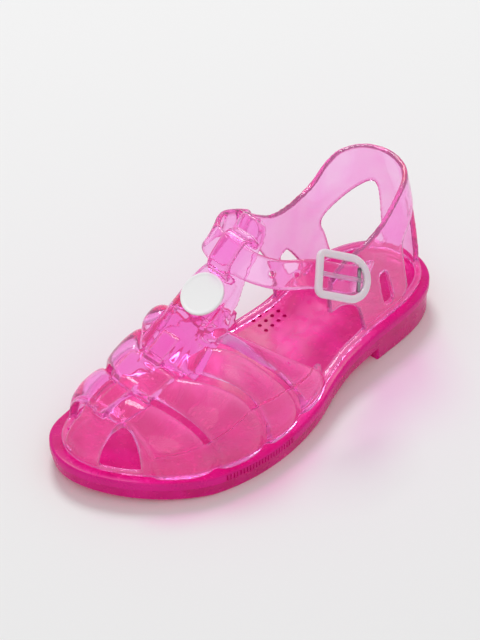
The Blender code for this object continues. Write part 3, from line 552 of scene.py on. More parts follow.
def plan_solid(name, rings, rows, collection, dip=0.0, columns=4, material=None):
    """A solid through rings round the sole, closed across its plan below and above, where it may dip."""
    count = len(rings[0])
    last = rows - 1
    points = [point for ring in rings for point in ring]
    top = len(points) - count
    faces = wall_faces(rings) + cross_faces(last, count, 0, 0, 1)
    inner = len(points)
    for row in range(1, last):
        outer_side, inner_side = np.array(points[top + row]), np.array(points[top + count - row])
        for column in range(1, columns):
            across = column / columns
            point = outer_side + (inner_side - outer_side) * across
            point[2] -= dip * math.sin(math.pi * across) * math.sqrt(math.sin(math.pi * row / last))
            points.append(tuple(point))
    faces += [tuple(reversed(face)) for face in cross_faces(last, count, top, inner, columns)]
    return new_object(name, points, outward(points, faces), collection, material)


def last_point(share, angle, inset=LEDGE, lower=0.0):
    """A point of the last: angle runs from 0 at the outer foot over the crown to pi at the inner foot."""
    y = y_of(share)
    turn = turn_at(y, inset)
    outer, inner = edge(turn, 1, inset)[0], edge(turn, -1, inset)[0]
    rise, towards = along(CROWN, share)
    dome = math.sqrt(max(0.0, 1 - (max(0.0, run_of(turn) - TOE_FROM) / TOE_RUN) ** TOE_POWER))
    middle = (outer + inner) / 2 - towards * (outer - inner) / 2
    cosine, sine = math.cos(angle), max(0.0, math.sin(angle))
    foot, spread, arch = (outer, *OUTER_POWERS) if cosine > 0 else (inner, *INNER_POWERS)
    across = (foot - middle) * abs(cosine) ** spread
    height = top_edge(y) + GAP + (rise * INSTEP_RISE - lower) * dome * sine**arch
    return np.array((middle + across, y, height))


def vamp(share, angle, lift=0.0):
    """A point over the last, lifted from it along its normal."""
    point = last_point(share, angle)
    if not lift:
        return point
    step = 0.03
    low, high = max(angle - step, 0.02), min(angle + step, math.pi - 0.02)
    round_it = last_point(share, high) - last_point(share, low)
    length = last_point(share + 0.006, angle) - last_point(share - 0.006, angle)
    normal = unit(np.cross(round_it, length))
    if normal[2] < 0:
        normal = -normal
    lifted = point + normal * lift
    lifted[2] = max(lifted[2], top_edge(point[1]) + GAP)
    return lifted


def line_share(row, angle):
    crown, outer, inner = row
    foot = outer if math.cos(angle) > 0 else inner
    return crown + (foot - crown) * abs(math.cos(angle)) ** LINE_BEND


def vamp_strap(name, rear, front, steps=56):
    """One transverse strap from foot to foot: its face bulges, and its front edge stands higher."""
    half_gap = STRAP_GAP / SOLE_LENGTH / 2
    rings = []
    for i in range(steps + 1):
        angle = math.pi * i / steps
        low = line_share(rear, angle) + half_gap
        high = line_share(front, angle) - half_gap
        outer, inner = [], []
        for across in STRAP_STATIONS:
            share = (low + high) / 2 + (high - low) / 2 * across
            bulge = STRAP_CROWN * (1 - across**2)
            rounded = STRAP_ROUNDING * max(0.0, abs(across) - 0.9) / 0.1
            lift = WALL * STRAP_LIFT + bulge + STRAP_STEP * (1 + across) / 2 - rounded
            outer.append(vamp(share, angle, lift))
            inner.append(vamp(share, angle, lift - STRAP_THICKNESS - bulge + rounded))
        rings.append(outer + inner[::-1])
    return tool(name, rings)


def crown_strip(name, shares, lifts, half_angle, thickness):
    """A strip along the crown, of a given height over the last at each share."""
    rings = []
    for share, lift in zip(shares, lifts):
        outer, inner = [], []
        for across, rounded in STRIP_SECTION:
            angle = math.pi / 2 + math.radians(half_angle) * across
            outer.append(vamp(share, angle, lift - rounded))
            inner.append(vamp(share, angle, lift - thickness))
        rings.append(outer + inner[::-1])
    return tool(name, rings)


def skirt(name, side, steps=8):
    """The low wall that the straps' feet run into, from the rear strap to the toe cap."""
    foot = VAMP_LINES[0][1 if side > 0 else 2] + SKIRT_START
    rings = []
    for share in np.linspace(foot, CAP_FROM + SKIRT_LAP, 60):
        angles = [math.radians(SKIRT_ANGLE) * k / steps for k in range(steps + 1)]
        angles = angles if side > 0 else [math.pi - angle for angle in angles]
        outer = [vamp(share, angle, SKIRT_LIFT) for angle in angles]
        inner = [vamp(share, angle, SKIRT_LIFT - WALL) for angle in angles]
        rings.append(outer + inner[::-1])
    return tool(name, rings)


def toe_dome(name, inset, lower, start, below, steps=39):
    """The last in front of a share, closed to a solid: the toe cap is one such solid less another."""
    first = turn_at(y_of(start), inset)
    rings = []
    for i in range(steps + 1):
        turn = first + (CAP_END - first) * i / steps
        y = edge(turn, 1, inset)[1]
        arc = [last_point(share_of(y), math.pi * k / 64, inset, lower) for k in range(65)]
        arc[0][2] -= below
        arc[-1][2] -= below
        rings.append(arc)
    return tool(name, rings)


def toe_arch(name, side):
    """The arched window beside the toe cap, cut level along the sole's edge."""
    behind, foot, ahead = (
        np.array(edge(turn_at(y_of(share), LEDGE), side, LEDGE)) for share in ARCH_SHARES
    )
    run = unit(ahead - behind)
    out = level_out(run, side)
    floor = top_edge(foot[1]) + GAP + ARCH_SILL
    rings = []
    for reach in ARCH_REACH:
        spot = foot + out * reach
        ring = []
        for k in range(13):
            a = math.pi * k / 12
            ring.append((*(spot + run * math.cos(a) * ARCH_HALF_WIDTH), floor + math.sin(a) * ARCH_HEIGHT))
        rings.append(ring)
    return tool(name, rings)


def tbar_rows():
    return smooth_route(TBAR, 6)


def tbar_middle(row):
    """Middle of the bar at a row of its table."""
    share, height, _ = row
    foot = top_edge(y_of(TBAR[0][0])) + TBAR_FOOT * INSTEP_RISE
    return np.array((TBAR_X, y_of(share), foot + height * (TBAR_TOP - foot)))


def strap_crossing():
    """Where the ankle strap crosses the bar: a point of the bar, its run and its normal."""
    route = [tbar_middle(row) for row in tbar_rows()]
    y = y_of(ANKLE_ROUTE[STRAP_AT_TBAR][1])
    lift = TBAR_THICKNESS / 2 + 2 * GAP + ANKLE_THICKNESS / 2
    best = None
    for low, high in zip(route, route[1:]):
        run = unit(high - low)
        normal = np.cross((1, 0, 0), run)
        for k in range(8):
            point = low + (high - low) * k / 8
            miss = abs((point + normal * lift)[1] - y)
            if best is None or miss < best[0]:
                best = (miss, point, run, normal)
    return best[1:]


def tbar_section(half):
    """Half of the flat middle, then the bar's face out to its edge: distance, share of drop, groove."""
    flat = min(TBAR_FLAT / 2, half * TBAR_FLAT_MOST)
    between = (half + flat) / 2
    if half - flat < GROOVE_ROOM:
        face = [(flat - 0.05 * (3 - k), 0.0, 0.0) for k in range(4)] + [(between, 0.32, 0.0)]
    else:
        groove = GROOVE_DEPTH * min(1.0, (half - flat - GROOVE_ROOM) / GROOVE_RUN)
        face = [(flat + out, depth, groove * cut) for out, depth, cut in GROOVE_FACE]
        face.append((between + 0.6, 0.42, 0.0))
    return flat, face + [(half, 1.0, 0.0)]


def tbar_plate():
    """The bar from its foot in the vamp to its top, its edges hanging and a groove beside its middle."""
    rows = tbar_rows()
    middles = [tbar_middle(row) for row in rows]
    rings = []
    for i, row in enumerate(rows):
        normal = np.cross((1, 0, 0), run_at(middles, i))
        half = row[2] * TBAR_WIDTH / 2
        flat, right = tbar_section(half)
        spread = [(-x, depth, groove) for x, depth, groove in reversed(right)] + right
        drop = TBAR_DROP * max(0.0, half - flat) / (TBAR_WIDTH / 2 - TBAR_FLAT / 2)
        fused = min(1.0, max(0.0, (row[0] - FUSED_FROM) / FUSED_RUN))
        up, down = [], []
        for x, depth, groove in spread:
            base = middles[i] + np.array((x, 0, 0)) - normal * drop * depth
            up.append(base + normal * (TBAR_THICKNESS / 2 - groove))
            down.append(base - normal * TBAR_THICKNESS * (0.5 + FUSED_DEPTH * fused))
        rings.append(up + down[::-1])
    return tool("tbar_plate", rings)


def ribbon(route, widths, normals, width, thickness):
    """Rings of a rectangular strip along a route, its corners taken off."""
    trim = min(CORNER_TRIM, thickness * 0.25)
    ends = ((width / 2, thickness / 2 - trim), (width / 2 - trim, thickness / 2))
    rings = []
    for point, across, normal in zip(route, widths, normals):
        ring = []
        for a, b in ((1, 1), (-1, 1), (-1, -1), (1, -1)):
            for w, h in ends if a * b > 0 else ends[::-1]:
                ring.append(point + across * a * w + normal * b * h)
        rings.append(ring)
    return rings


def tbar_loop():
    """The tongue that leaves the bar's head, passes over the ankle strap and goes back into the bar."""
    spot, run, normal = strap_crossing()
    rise = TBAR_THICKNESS / 2 + 6 * GAP + ANKLE_THICKNESS + LOOP_THICKNESS / 2
    route = [spot + run * a * ANKLE_WIDTH + normal * b * rise for a, b in smooth_route(LOOP, 8)]
    across = [np.array((1.0, 0, 0))] * len(route)
    normals = [np.cross(across[0], run_at(route, i)) for i in range(len(route))]
    return tool("tbar_loop", ribbon(route, across, normals, LOOP_WIDTH, LOOP_THICKNESS))


def cage(turn, height, lift=0.0):
    """A point of the cage: turn is positive on the outer side, height a share of the cage's."""

    def at(signed, share):
        side = 1 if signed >= 0 else -1
        x, y = edge(abs(signed), side, LEDGE)
        back = max(0.0, 1 - run_of(signed) / CAGE_BACK) ** 1.5
        base = top_edge(y) + GAP
        z = base + (HEEL_HEIGHT + CAGE_HEIGHT - base) * share
        middle = along(OUTLINE, share_of(y))[0] * BALL_WIDTH
        narrowed = middle + (x - middle) * (1 - CAGE_TAPER * share)
        return np.array((narrowed, y - CAGE_LEAN * abs(share) ** 1.5 * back, z))

    point = at(turn, height)
    if not lift:
        return point
    round_it = at(turn + 0.004, height) - at(turn - 0.004, height)
    up = at(turn, height + 0.02) - at(turn, height - 0.02)
    normal = unit(np.cross(round_it, up))
    centre = np.array((0.0, CAGE_CENTRE_Y, point[2]))
    if np.dot(normal, point - centre) < 0:
        normal = -normal
    lifted = point + normal * lift
    lifted[2] = max(lifted[2], top_edge(point[1]) + GAP) if height <= 0.02 else lifted[2]
    return lifted


def cage_shell():
    """The whole wall of the heel cage, up to its rim, before its openings are cut."""
    steps = 20
    rings = []
    for turn in np.linspace(-INNER_RIM[-1][0], OUTER_RIM[-1][0], 121):
        rim = along(OUTER_RIM if turn >= 0 else INNER_RIM, abs(turn))[0]
        heights = [rim * k / steps for k in range(steps + 1)]
        outer = [cage(turn, height, WALL / 2) for height in heights]
        inner = [cage(turn, height, -WALL / 2) for height in heights]
        rings.append(outer + inner[::-1])
    return tool("cage_shell", rings)


def foot_band():
    """The low border that joins the feet of the straps and quarters round the heel."""
    reach = turn_at(y_of(FOOT_BAND_TO), LEDGE)
    rings = []
    thick = WALL / 2 + 0.3
    for turn in np.linspace(-reach, reach, 120):
        low, high = cage(turn, 0.0), cage(turn, FOOT_BAND / CAGE_HEIGHT)
        out = cage(turn, 0.01, 1.0) - cage(turn, 0.01)
        out[2] = 0.0
        out = unit(out)
        rings.append([low + out * thick, high + out * thick, high - out * thick, low - out * thick])
    return tool("foot_band", rings)


def cage_plug(name, outline, side):
    """A cutter through the cage's wall with the given outline, curved as the wall is."""
    flat = smooth_route(list(outline) + [outline[0]], 6)[:-1]
    centre = np.mean(flat, axis=0)
    deep = WALL / 2 + 2.0
    rings = []
    for lift, scales in ((-deep, (0.05, 0.35, 0.7, 1.0)), (deep, (1.0, 0.7, 0.35, 0.05))):
        for scale in scales:
            spots = [centre + (point - centre) * scale for point in flat]
            rings.append([cage(side * turn, height, lift) for turn, height in spots])
    return tool(name, rings)


def ankle_route():
    """Middle points, width directions and normals of the ankle strap, seated where it crosses the T-bar."""
    spot, _, across = strap_crossing()
    seat = spot + across * (TBAR_THICKNESS / 2 + 2 * GAP + ANKLE_THICKNESS / 2)
    level = HEEL_HEIGHT + ANKLE_ROUTE[STRAP_AT_TBAR][2] * CAGE_HEIGHT
    points, widths = [], []
    for x, share, height, side, forward, up, held in smooth_route(ANKLE_ROUTE, 8):
        z = HEEL_HEIGHT + height * CAGE_HEIGHT + held * (seat[2] - level)
        points.append(np.array((x * BALL_WIDTH, y_of(share), z)))
        widths.append(unit(np.array((side, forward, up))))
    normals = []
    for i, width in enumerate(widths):
        run = run_at(points, i)
        normals.append(unit(np.cross(width, run)))
        widths[i] = unit(np.cross(run, normals[i]))
    return points, widths, normals


def at_length(share):
    """Place, run, width direction and normal at a share of the strap's length."""
    points, widths, normals = ankle_route()
    steps = [np.linalg.norm(b - a) for a, b in zip(points, points[1:])]
    reach = share * sum(steps)
    for i, step in enumerate(steps):
        if reach <= step:
            t = reach / step
            place = points[i] * (1 - t) + points[i + 1] * t
            return place, unit(points[i + 1] - points[i]), widths[i], normals[i]
        reach -= step
    return points[-1], unit(points[-1] - points[-2]), widths[-1], normals[-1]


# Sole details


def prism(name, centre, flat, height):
    """An upright prism: its outline lies flat about the centre, which is halfway up."""
    return tool(name, [[np.array(centre) + (x, y, z) for x, y in flat] for z in (-height / 2, height / 2)])


def box(name, centre, size):
    x, y, height = size[0] / 2, size[1] / 2, size[2]
    return prism(name, centre, ((-x, -y), (x, -y), (x, y), (-x, y)), height)


def disc(name, centre, radius, height, count=24):
    flat = [(radius * math.cos(a), radius * math.sin(a)) for a in circle(count, 0.5)]
    return prism(name, centre, flat, height)


def sole_cavity():
    """The hollow under the sole, less its ribs and the two pads that it rests on."""
    turns = [i / CAVITY_STATIONS for i in range(CAVITY_STATIONS + 1)]
    floor = sole_ring(turns, 0.0, SOLE_WALL, lambda y, behind: -TREAD_CHAMFER)
    roof = sole_ring(turns, 0.0, SOLE_WALL, lambda y, behind: top_edge(y) - FOOTBED_THICKNESS)
    cavity = plan_solid("sole_cavity", [floor, roof], len(turns), tools, columns=4)
    middle = HEEL_BACK - SOLE_LENGTH / 2
    tall = 2 * HEEL_HEIGHT
    for k in range(-3, 4):
        cut_from(cavity, box(f"rib_along_{k}", (k * CELL_PITCH, middle, 0), (CELL_RIB, SOLE_LENGTH, tall)))
    first = -math.ceil(HEEL_BACK / CELL_PITCH)
    for k in range(first, first + math.ceil(SOLE_LENGTH / CELL_PITCH) + 2):
        cut_from(cavity, box(f"rib_across_{k}", (0, -k * CELL_PITCH, 0), (2 * BALL_WIDTH, CELL_RIB, tall)))
    for k, y in enumerate((0.0, -FOREFOOT_PAD_CELLS * CELL_PITCH)):
        cut_from(cavity, disc(f"pad_{k}", (0, y, 0), REST_PAD_RADIUS, tall))
    return cavity


def knurl_grooves():
    """Upright grooves in the welt along the outer side of the ball."""
    grooves = []
    for k in range(round((KNURL_TO - KNURL_FROM) / KNURL_PITCH)):
        y = HEEL_BACK - KNURL_FROM - k * KNURL_PITCH
        turn = turn_at(y)
        spot = np.array(edge(turn, 1, -WELT_STEP))
        run = unit(np.array(edge(turn + 0.005, 1, -WELT_STEP)) - spot)
        out = level_out(run, 1)
        mid = top_edge(y) - WELT_HEIGHT / 2 - WELT_STEP / 4
        deep = spot - out * KNURL_DEPTH
        wide = KNURL_PITCH * 0.32
        flat = [deep, spot + out * 0.5 + run * wide, spot + out * 0.5 - run * wide]
        grooves.append(prism(f"knurl_{k}", (0, 0, mid), flat, KNURL_HEIGHT))
    return grooves


def vents():
    """Rows of small blind holes in the footbed at the arch."""
    holes = []
    for row in range(VENT_ROWS):
        for column in range(VENT_COLUMNS):
            x = VENT_X + (column - (VENT_COLUMNS - 1) / 2) * VENT_PITCH
            y = VENT_Y + (row - (VENT_ROWS - 1) / 2) * VENT_PITCH
            place = (x, y, top_edge(y))
            holes.append(disc(f"vent_{row}_{column}", place, VENT_DIAMETER / 2, 2 * VENT_DEPTH, 12))
    return holes


def fine_sole(material):
    turns, breast = sole_turns()

    def ring(inset, height):
        return sole_ring(turns, breast, inset, height)

    rings = [ring(inset, lambda y, behind, up=up: underside(y, behind) + up) for inset, up in TREAD_EDGE]
    rings += [ring(inset, lambda y, behind, down=down: top_edge(y) - down) for inset, down in WELT_EDGE]
    sole = plan_solid("sole_moulding", rings, len(turns), looks, FOOTBED_DIP, FOOTBED_COLUMNS, material)
    grooves = joined("sole_grooves", knurl_grooves() + vents(), tools)
    cut_from(sole, sole_cavity(), grooves)
    settle(sole).shade_smooth()
    sole.data.set_sharp_from_angle(angle=math.radians(SHARP_ANGLE))
    return sole


# Fine upper


def applied(obj):
    """A new mesh of an object with its modifiers applied."""
    bpy.context.view_layer.update()
    graph = bpy.context.evaluated_depsgraph_get()
    return bpy.data.meshes.new_from_object(obj.evaluated_get(graph))


def joined(name, objects, collection):
    """One object that holds the finished meshes of several, which may overlap."""
    merged = bmesh.new()
    for obj in objects:
        mesh = applied(obj)
        merged.from_mesh(mesh)
        bpy.data.meshes.remove(mesh)
    mesh = bpy.data.meshes.new(name)
    merged.to_mesh(mesh)
    merged.free()
    obj = bpy.data.objects.new(name, mesh)
    collection.objects.link(obj)
    return obj


def settle(obj):
    """Replaces the object's mesh by what its modifiers make of it."""
    mesh = applied(obj)
    obj.modifiers.clear()
    obj.data = mesh
    return mesh


def moulded(obj):
    """The object as one skin with rounded edges, in at most SKIN_MOST triangles."""
    remesh = obj.modifiers.new("one_skin", "REMESH")
    remesh.mode = "VOXEL"
    remesh.voxel_size = SKIN_VOXEL * MM
    smooth = obj.modifiers.new("rounding", "SMOOTH")
    smooth.factor = 0.5
    smooth.iterations = SKIN_ROUNDS
    mesh = settle(obj)
    mesh.calc_loop_triangles()
    count = len(mesh.loop_triangles)
    if count > SKIN_MOST:
        obj.modifiers.new("fewer", "DECIMATE").ratio = SKIN_MOST / count
        mesh = settle(obj)
    mesh.shade_smooth()
    return obj


def fine_strap():
    """The ankle strap with its holes, and the foot that joins it to the inner quarter."""
    points, widths, normals = ankle_route()
    strap = tool("ankle_strap_fine", ribbon(points, widths, normals, ANKLE_WIDTH, ANKLE_THICKNESS))
    length = sum(np.linalg.norm(b - a) for a, b in zip(points, points[1:]))
    for k in range(HOLES):
        place, run, width, normal = at_length(FIRST_HOLE_AT + k * HOLE_PITCH / length)
        rings = []
        for reach in (-ANKLE_THICKNESS, ANKLE_THICKNESS):
            rings.append(ring_round(place + normal * reach, HOLE_DIAMETER / 2, run, width, 20))
        cut_from(strap, tool(f"strap_hole_{k}", rings))
    foot = [point + np.array((STRAP_FOOT_SHIFT, 0.0, 0.0)) for point in points[:STRAP_FOOT_ROWS]]
    foot_rings = ribbon(foot, widths, normals, ANKLE_WIDTH - 1, ANKLE_THICKNESS)
    return strap, tool("ankle_strap_foot", foot_rings)


def fine_upper(material):
    wall = cage_shell()
    for name, outer, inner in CAGE_CUTS:
        cut_from(wall, cage_plug(f"outer_{name}", outer, 1), cage_plug(f"inner_{name}", inner, -1))
    arches = (toe_arch("outer_arch", 1), toe_arch("inner_arch", -1))
    cap = toe_dome("toe_cap", LEDGE, 0.0, CAP_FROM, 0.0)
    cut_from(cap, toe_dome("toe_cap_inside", LEDGE + WALL, WALL, CAP_FROM - CAP_LAP, CAP_SINK), *arches)
    skirts = [skirt("outer_skirt", 1), skirt("inner_skirt", -1)]
    lines = enumerate(zip(VAMP_LINES, VAMP_LINES[1:]))
    straps = [vamp_strap(f"vamp_strap_{k}", *pair) for k, pair in lines]
    for piece in (*skirts, straps[-1]):
        cut_from(piece, *arches)
    shares = np.linspace(WEAVE[0][0], WEAVE[-1][0], 80)
    lifts = [along(WEAVE, share)[0] * WALL for share in shares]
    band = crown_strip("woven_band", shares, lifts, WEAVE_HALF_ANGLE, WALL * BAND_DEPTH)
    ribs = []
    for k, (start, end) in enumerate(RIBS):
        shares = np.linspace(start, end, 30)
        ribs.append(crown_strip(f"rib_{k}", shares, [WALL * RIB_LIFT] * 30, RIB_HALF_ANGLE, WALL * RIB_DEPTH))
    pieces = [wall, foot_band(), cap, *skirts, *straps, band, *ribs, tbar_plate(), tbar_loop(), *fine_strap()]
    upper = moulded(joined("upper_moulding", pieces, looks))
    upper.data.materials.clear()
    upper.data.materials.append(material)
    return upper


# Buckle and badge


def buckle_axes():
    place, run, width, normal = at_length(BUCKLE_AT)
    normal = normal if normal[0] > 0 else -normal
    width = width if width[2] > 0 else -width
    return place, run, width, normal


def d_path(length, height, corner, count):
    """A D with rounded front corners, as points in its plane."""
    half = height / 2
    front = -length / 2
    rear = front + length - half

    def bend(start, y):
        turns = [math.pi * (start + k / 12) for k in range(7)]
        return [(front + corner + corner * math.cos(a), y + corner * math.sin(a)) for a in turns]

    turns = [-math.pi / 2 + math.pi * k / count for k in range(count + 1)]
    round_end = [(rear + half * math.cos(a), half * math.sin(a)) for a in turns]
    return bend(1, -half + corner) + round_end + bend(0.5, half - corner)


def closed_rail(name, path, axes, low, width, thickness, material):
    """A rail of rounded section round a closed path in the plane of the strap."""
    place, run, across, normal = axes
    count = len(path)
    rings = []
    for i, spot in enumerate(path):
        ahead = np.array(path[(i + 1) % count]) - np.array(path[i - 1])
        side = unit(np.array((ahead[1], -ahead[0])))
        ring = []
        for a in circle(RAIL_SIDES):
            c, s = math.cos(a), math.sin(a)
            reach = math.copysign(abs(c) ** 0.62, c) * width / 2
            lift = math.copysign(abs(s) ** 0.62, s) * thickness / 2
            flat = np.array(spot) + side * reach
            ring.append(place + run * flat[0] + across * flat[1] + normal * (low + thickness / 2 + lift))
        rings.append(ring)
    return loft(name, rings, looks, material, closed=True)


def rod(name, stations, axes, material):
    """A round rod in the plane of the strap, through stations of run, height and radius."""
    place, run, across, normal = axes
    rings = []
    for a, height, radius in stations:
        rings.append(ring_round(place + run * a + normal * height, radius, across, normal, 20))
    return loft(name, rings, looks, material)


def fine_buckle(frosted, milky, steel):
    axes = buckle_axes()
    low = ANKLE_THICKNESS / 2 + 3 * GAP
    path = d_path(BUCKLE_LENGTH - BUCKLE_BORDER, BUCKLE_HEIGHT - BUCKLE_BORDER, 2.2, 28)
    frame_piece = closed_rail("buckle_rail", path, axes, low, BUCKLE_BORDER, BUCKLE_THICKNESS, frosted)
    radius = PRONG_DIAMETER / 2
    reach = BUCKLE_LENGTH / 2 - BUCKLE_BORDER
    level = low + 1.1 * radius
    stations = (
        (-reach - 0.9, low + BUCKLE_THICKNESS * 0.62, 0.35),
        (-reach - 0.6, low + BUCKLE_THICKNESS * 0.66, 0.7),
        (-reach + 1.0, low + 1.5 * radius, 0.95),
        (-reach + 4.0, level, 1.0),
        (reach - 3.0, level, 1.0),
        (reach - 0.9, level, 1.0),
        (reach - 0.5, level, 0.7),
    )
    prong = rod("buckle_tongue", stations, axes, milky)
    place, run, across, normal = axes
    turned = (place + run * (reach - 2.2), across, run, normal)
    half = ANKLE_WIDTH / 2 - 1.2
    pin = rod("buckle_pin", [(-half, low + 0.9, 0.8), (half, low + 0.9, 0.8)], turned, steel)
    return frame_piece, prong, pin


def fine_badge(material):
    rows = tbar_rows()
    middles = [tbar_middle(row) for row in rows]
    i = int(np.argmin([abs(row[0] - BADGE_AT) for row in rows]))
    run = run_at(middles, i)
    normal = np.cross((1, 0, 0), run)
    low = TBAR_THICKNESS / 2 + 3 * GAP
    rings = []
    for inset, height in BADGE_PROFILE:
        centre = middles[i] + normal * (low + height * BADGE_THICKNESS)
        rings.append(ring_round(centre, BADGE_DIAMETER / 2 - inset, np.array((1, 0, 0)), run, 72))
    return loft("badge_disc", rings, looks, material)


# Materials


def fill(tree, node, inputs):
    """Gives each input of a node its value, or a link where that is another node's output."""
    for key, value in inputs.items():
        if isinstance(value, bpy.types.NodeSocket):
            tree.links.new(value, node.inputs[key])
        else:
            node.inputs[key].default_value = value


def add_node(tree, kind, inputs):
    node = tree.nodes.new(f"ShaderNode{kind}")
    fill(tree, node, inputs)
    return node


def shader_of(name):
    material = bpy.data.materials.new(name)
    material.use_nodes = True
    return material, material.node_tree, material.node_tree.nodes["Principled BSDF"]


def noise(tree, scale, detail):
    place = add_node(tree, "TexCoord", {}).outputs["Object"]
    return add_node(tree, "TexNoise", {"Vector": place, "Scale": scale, "Detail": detail}).outputs["Fac"]


def bump(tree, shader, height, strength, distance):
    relief = add_node(tree, "Bump", {"Strength": strength, "Distance": distance, "Height": height})
    fill(tree, shader, {"Normal": relief.outputs["Normal"]})


def ranged(tree, value, low, high, start=0.0, end=1.0):
    """A value taken from start and end to low and high."""
    ends = {"From Min": start, "From Max": end, "To Min": low, "To Max": high}
    return add_node(tree, "MapRange", {**ends, "Value": value}).outputs["Result"]


def reckoned(tree, operation, first, second):
    node = add_node(tree, "Math", {0: first, 1: second})
    node.operation = operation
    return node.outputs["Value"]


def clear_pvc(name, colours, transmission, roughness, absorbs, density, ripple, passes, share):
    """Cloudy clear PVC: tinted skin, a deeper pink painted as shade on sharp edges and slants, a faint
    painted glow, absorption that deepens with thickness.

    Light that falls through it to what lies below is let through directly, tinted by "passes".
    """
    dark, light, rim = colours
    material, tree, shader = shader_of(name)
    ramp = add_node(tree, "ValToRGB", {"Fac": noise(tree, CLOUD_SCALE, 2.0)})
    for k, position, colour in ((0, 0.35, dark), (1, 0.65, light)):
        ramp.color_ramp.elements[k].position = position
        ramp.color_ramp.elements[k].color = colour
    # Painted shade: sharp edges and slanting skin take the deeper rim pink and let less light through,
    # standing in for light crossing more plastic there
    pointed = add_node(tree, "NewGeometry", {}).outputs["Pointiness"]
    facing = add_node(tree, "LayerWeight", {"Blend": 0.35}).outputs["Facing"]
    pointed = ranged(tree, pointed, 0.0, 1.0, *SHADE_RIM_POINTS)
    facing = ranged(tree, facing, 0.0, 0.9, *SHADE_RIM_FACING)
    rim_shade = reckoned(tree, "MAXIMUM", pointed, facing)
    tint = add_node(tree, "MixRGB", {"Fac": rim_shade, "Color1": ramp.outputs["Color"], "Color2": rim})
    fill(tree, shader, {
        "Base Color": tint.outputs["Color"],
        "Transmission Weight": ranged(tree, rim_shade, transmission, transmission * 0.4),
        "Roughness": ranged(tree, noise(tree, GRAIN_SCALE, 2.0), roughness * 0.6, roughness * 1.4),
        "IOR": PVC_IOR,
        "Specular IOR Level": PVC_SPECULAR,
        # Painted glow: the skin emits a little of the rim pink, standing in for light scattered inside it
        "Emission Color": rim,
        "Emission Strength": PAINTED_GLOW,
    })
    bump(tree, shader, noise(tree, RIPPLE_SCALE, 3.0), ripple, RIPPLE_DEPTH)
    path = add_node(tree, "LightPath", {}).outputs
    falls = reckoned(tree, "MAXIMUM", path["Is Shadow Ray"], path["Is Diffuse Ray"])
    through = reckoned(tree, "MULTIPLY", falls, share)
    clear = add_node(tree, "BsdfTransparent", {"Color": passes}).outputs["BSDF"]
    mix = add_node(tree, "MixShader", {0: through, 1: shader.outputs["BSDF"], 2: clear})
    volume = add_node(tree, "VolumeAbsorption", {"Color": absorbs, "Density": density})
    shown = {"Surface": mix.outputs["Shader"], "Volume": volume.outputs["Volume"]}
    fill(tree, tree.nodes["Material Output"], shown)
    return material


def grained(name, inputs, scale, detail, roughness, relief=0.0):
    """A material whose roughness lies between two values by a fine grain, which may also be felt."""
    material, tree, shader = shader_of(name)
    grain = noise(tree, scale, detail)
    fill(tree, shader, {**inputs, "Roughness": ranged(tree, grain, *roughness)})
    if relief:
        bump(tree, shader, grain, relief, GRAIN_DEPTH)
    return material


def frosted_plastic(name, colour, transmission):
    inputs = {
        "Base Color": colour,
        "Transmission Weight": transmission,
        "Subsurface Weight": 0.3,
        "Subsurface Radius": (1.0, 0.5, 0.7),
        "Subsurface Scale": 0.002,
    }
    return grained(name, inputs, 900.0, 2.0, (0.28, 0.42), 0.15)


def white_enamel():
    inputs = {"Base Color": (0.93, 0.93, 0.93, 1.0), "Coat Weight": 0.6, "Coat Roughness": 0.08}
    return grained("white_badge", inputs, 400.0, 4.0, (0.25, 0.4), 0.08)


def brushed_pin():
    inputs = {"Base Color": (0.35, 0.34, 0.36, 1.0), "Metallic": 1.0}
    return grained("buckle_pin_steel", inputs, 1500.0, 2.0, (0.25, 0.45))


def floor_paper():
    material, tree, shader = shader_of("floor_paper")
    fill(tree, shader, {"Base Color": (0.86, 0.86, 0.86, 1.0), "Roughness": 0.9})
    return material


# Studio


def placed(name, data, place, look):
    """An object of the studio at a place, turned to look along a direction."""
    obj = bpy.data.objects.new(name, data)
    obj.location = place
    obj.rotation_euler = look.to_track_quat("-Z", "Y").to_euler()
    bpy.context.scene.collection.objects.link(obj)
    return obj


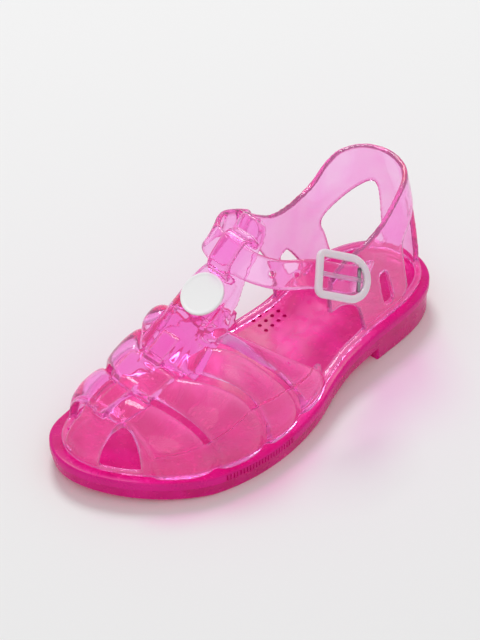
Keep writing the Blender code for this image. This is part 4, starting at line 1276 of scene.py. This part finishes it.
def studio():
    bpy.ops.mesh.primitive_plane_add(size=FLOOR_SIZE)
    floor = bpy.context.object
    floor.name = "floor"
    floor.data.materials.append(floor_paper())
    world = bpy.data.worlds.new("studio")
    bpy.context.scene.world = world
    world.use_nodes = True
    background = world.node_tree.nodes["Background"]
    background.inputs["Color"].default_value = (1.0, 1.0, 1.0, 1.0)
    background.inputs["Strength"].default_value = WORLD_STRENGTH
    for name, place, size, power in LAMPS:
        light = bpy.data.lights.new(name, "AREA")
        light.shape = "DISK"
        light.size = size
        light.energy = power
        placed(name, light, place, Vector(LAMP_TARGET) - Vector(place))


def camera():
    """The photograph's view: from above the toe's outer side, a little cropped in."""
    azimuth, elevation = math.radians(VIEW_AZIMUTH), math.radians(VIEW_ELEVATION)
    level, rise = math.cos(elevation), math.sin(elevation)
    back = Vector((math.sin(azimuth) * level, -math.cos(azimuth) * level, rise))
    right = Vector((math.cos(azimuth), math.sin(azimuth), 0.0))
    up = back.cross(right)
    target = Vector(VIEW_CENTRE) + right * VIEW_RIGHT + up * VIEW_UP
    data = bpy.data.cameras.new("camera")
    data.sensor_fit = "VERTICAL"
    data.sensor_height = 24.0
    data.lens = data.sensor_height * VIEW_DISTANCE / VIEW_HEIGHT
    data.clip_end = 20.0
    bpy.context.scene.camera = placed("camera", data, target + back * VIEW_DISTANCE, -back)


def main():
    clear_pink = clear_pvc("clear_pink_pvc", UPPER_COLOURS, *UPPER_PVC)
    deep_pink = clear_pvc("deep_pink_pvc", SOLE_COLOURS, *SOLE_PVC)
    frosted = frosted_plastic("frosted_plastic", (0.96, 0.84, 0.91, 1.0), 0.2)
    milky = frosted_plastic("milky_tongue", (1.0, 0.70, 0.90, 1.0), 0.75)
    upper = fine_upper(clear_pink)
    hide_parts("upper", "ankle_strap")
    sole = fine_sole(deep_pink)
    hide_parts("sole")
    rail, tongue, pin = fine_buckle(frosted, milky, brushed_pin())
    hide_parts("buckle_frame")
    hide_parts("buckle_prong")
    badge = fine_badge(white_enamel())
    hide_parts("badge")
    for piece in (upper, sole, rail, tongue, pin, badge):
        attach(piece, "root")
    for helper in list(tools.objects):
        bpy.data.objects.remove(helper)
    studio()
    camera()
    bpy.context.scene.view_settings.view_transform = "Standard"


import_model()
tools = new_collection("tools")
looks = new_collection("looks")
main()
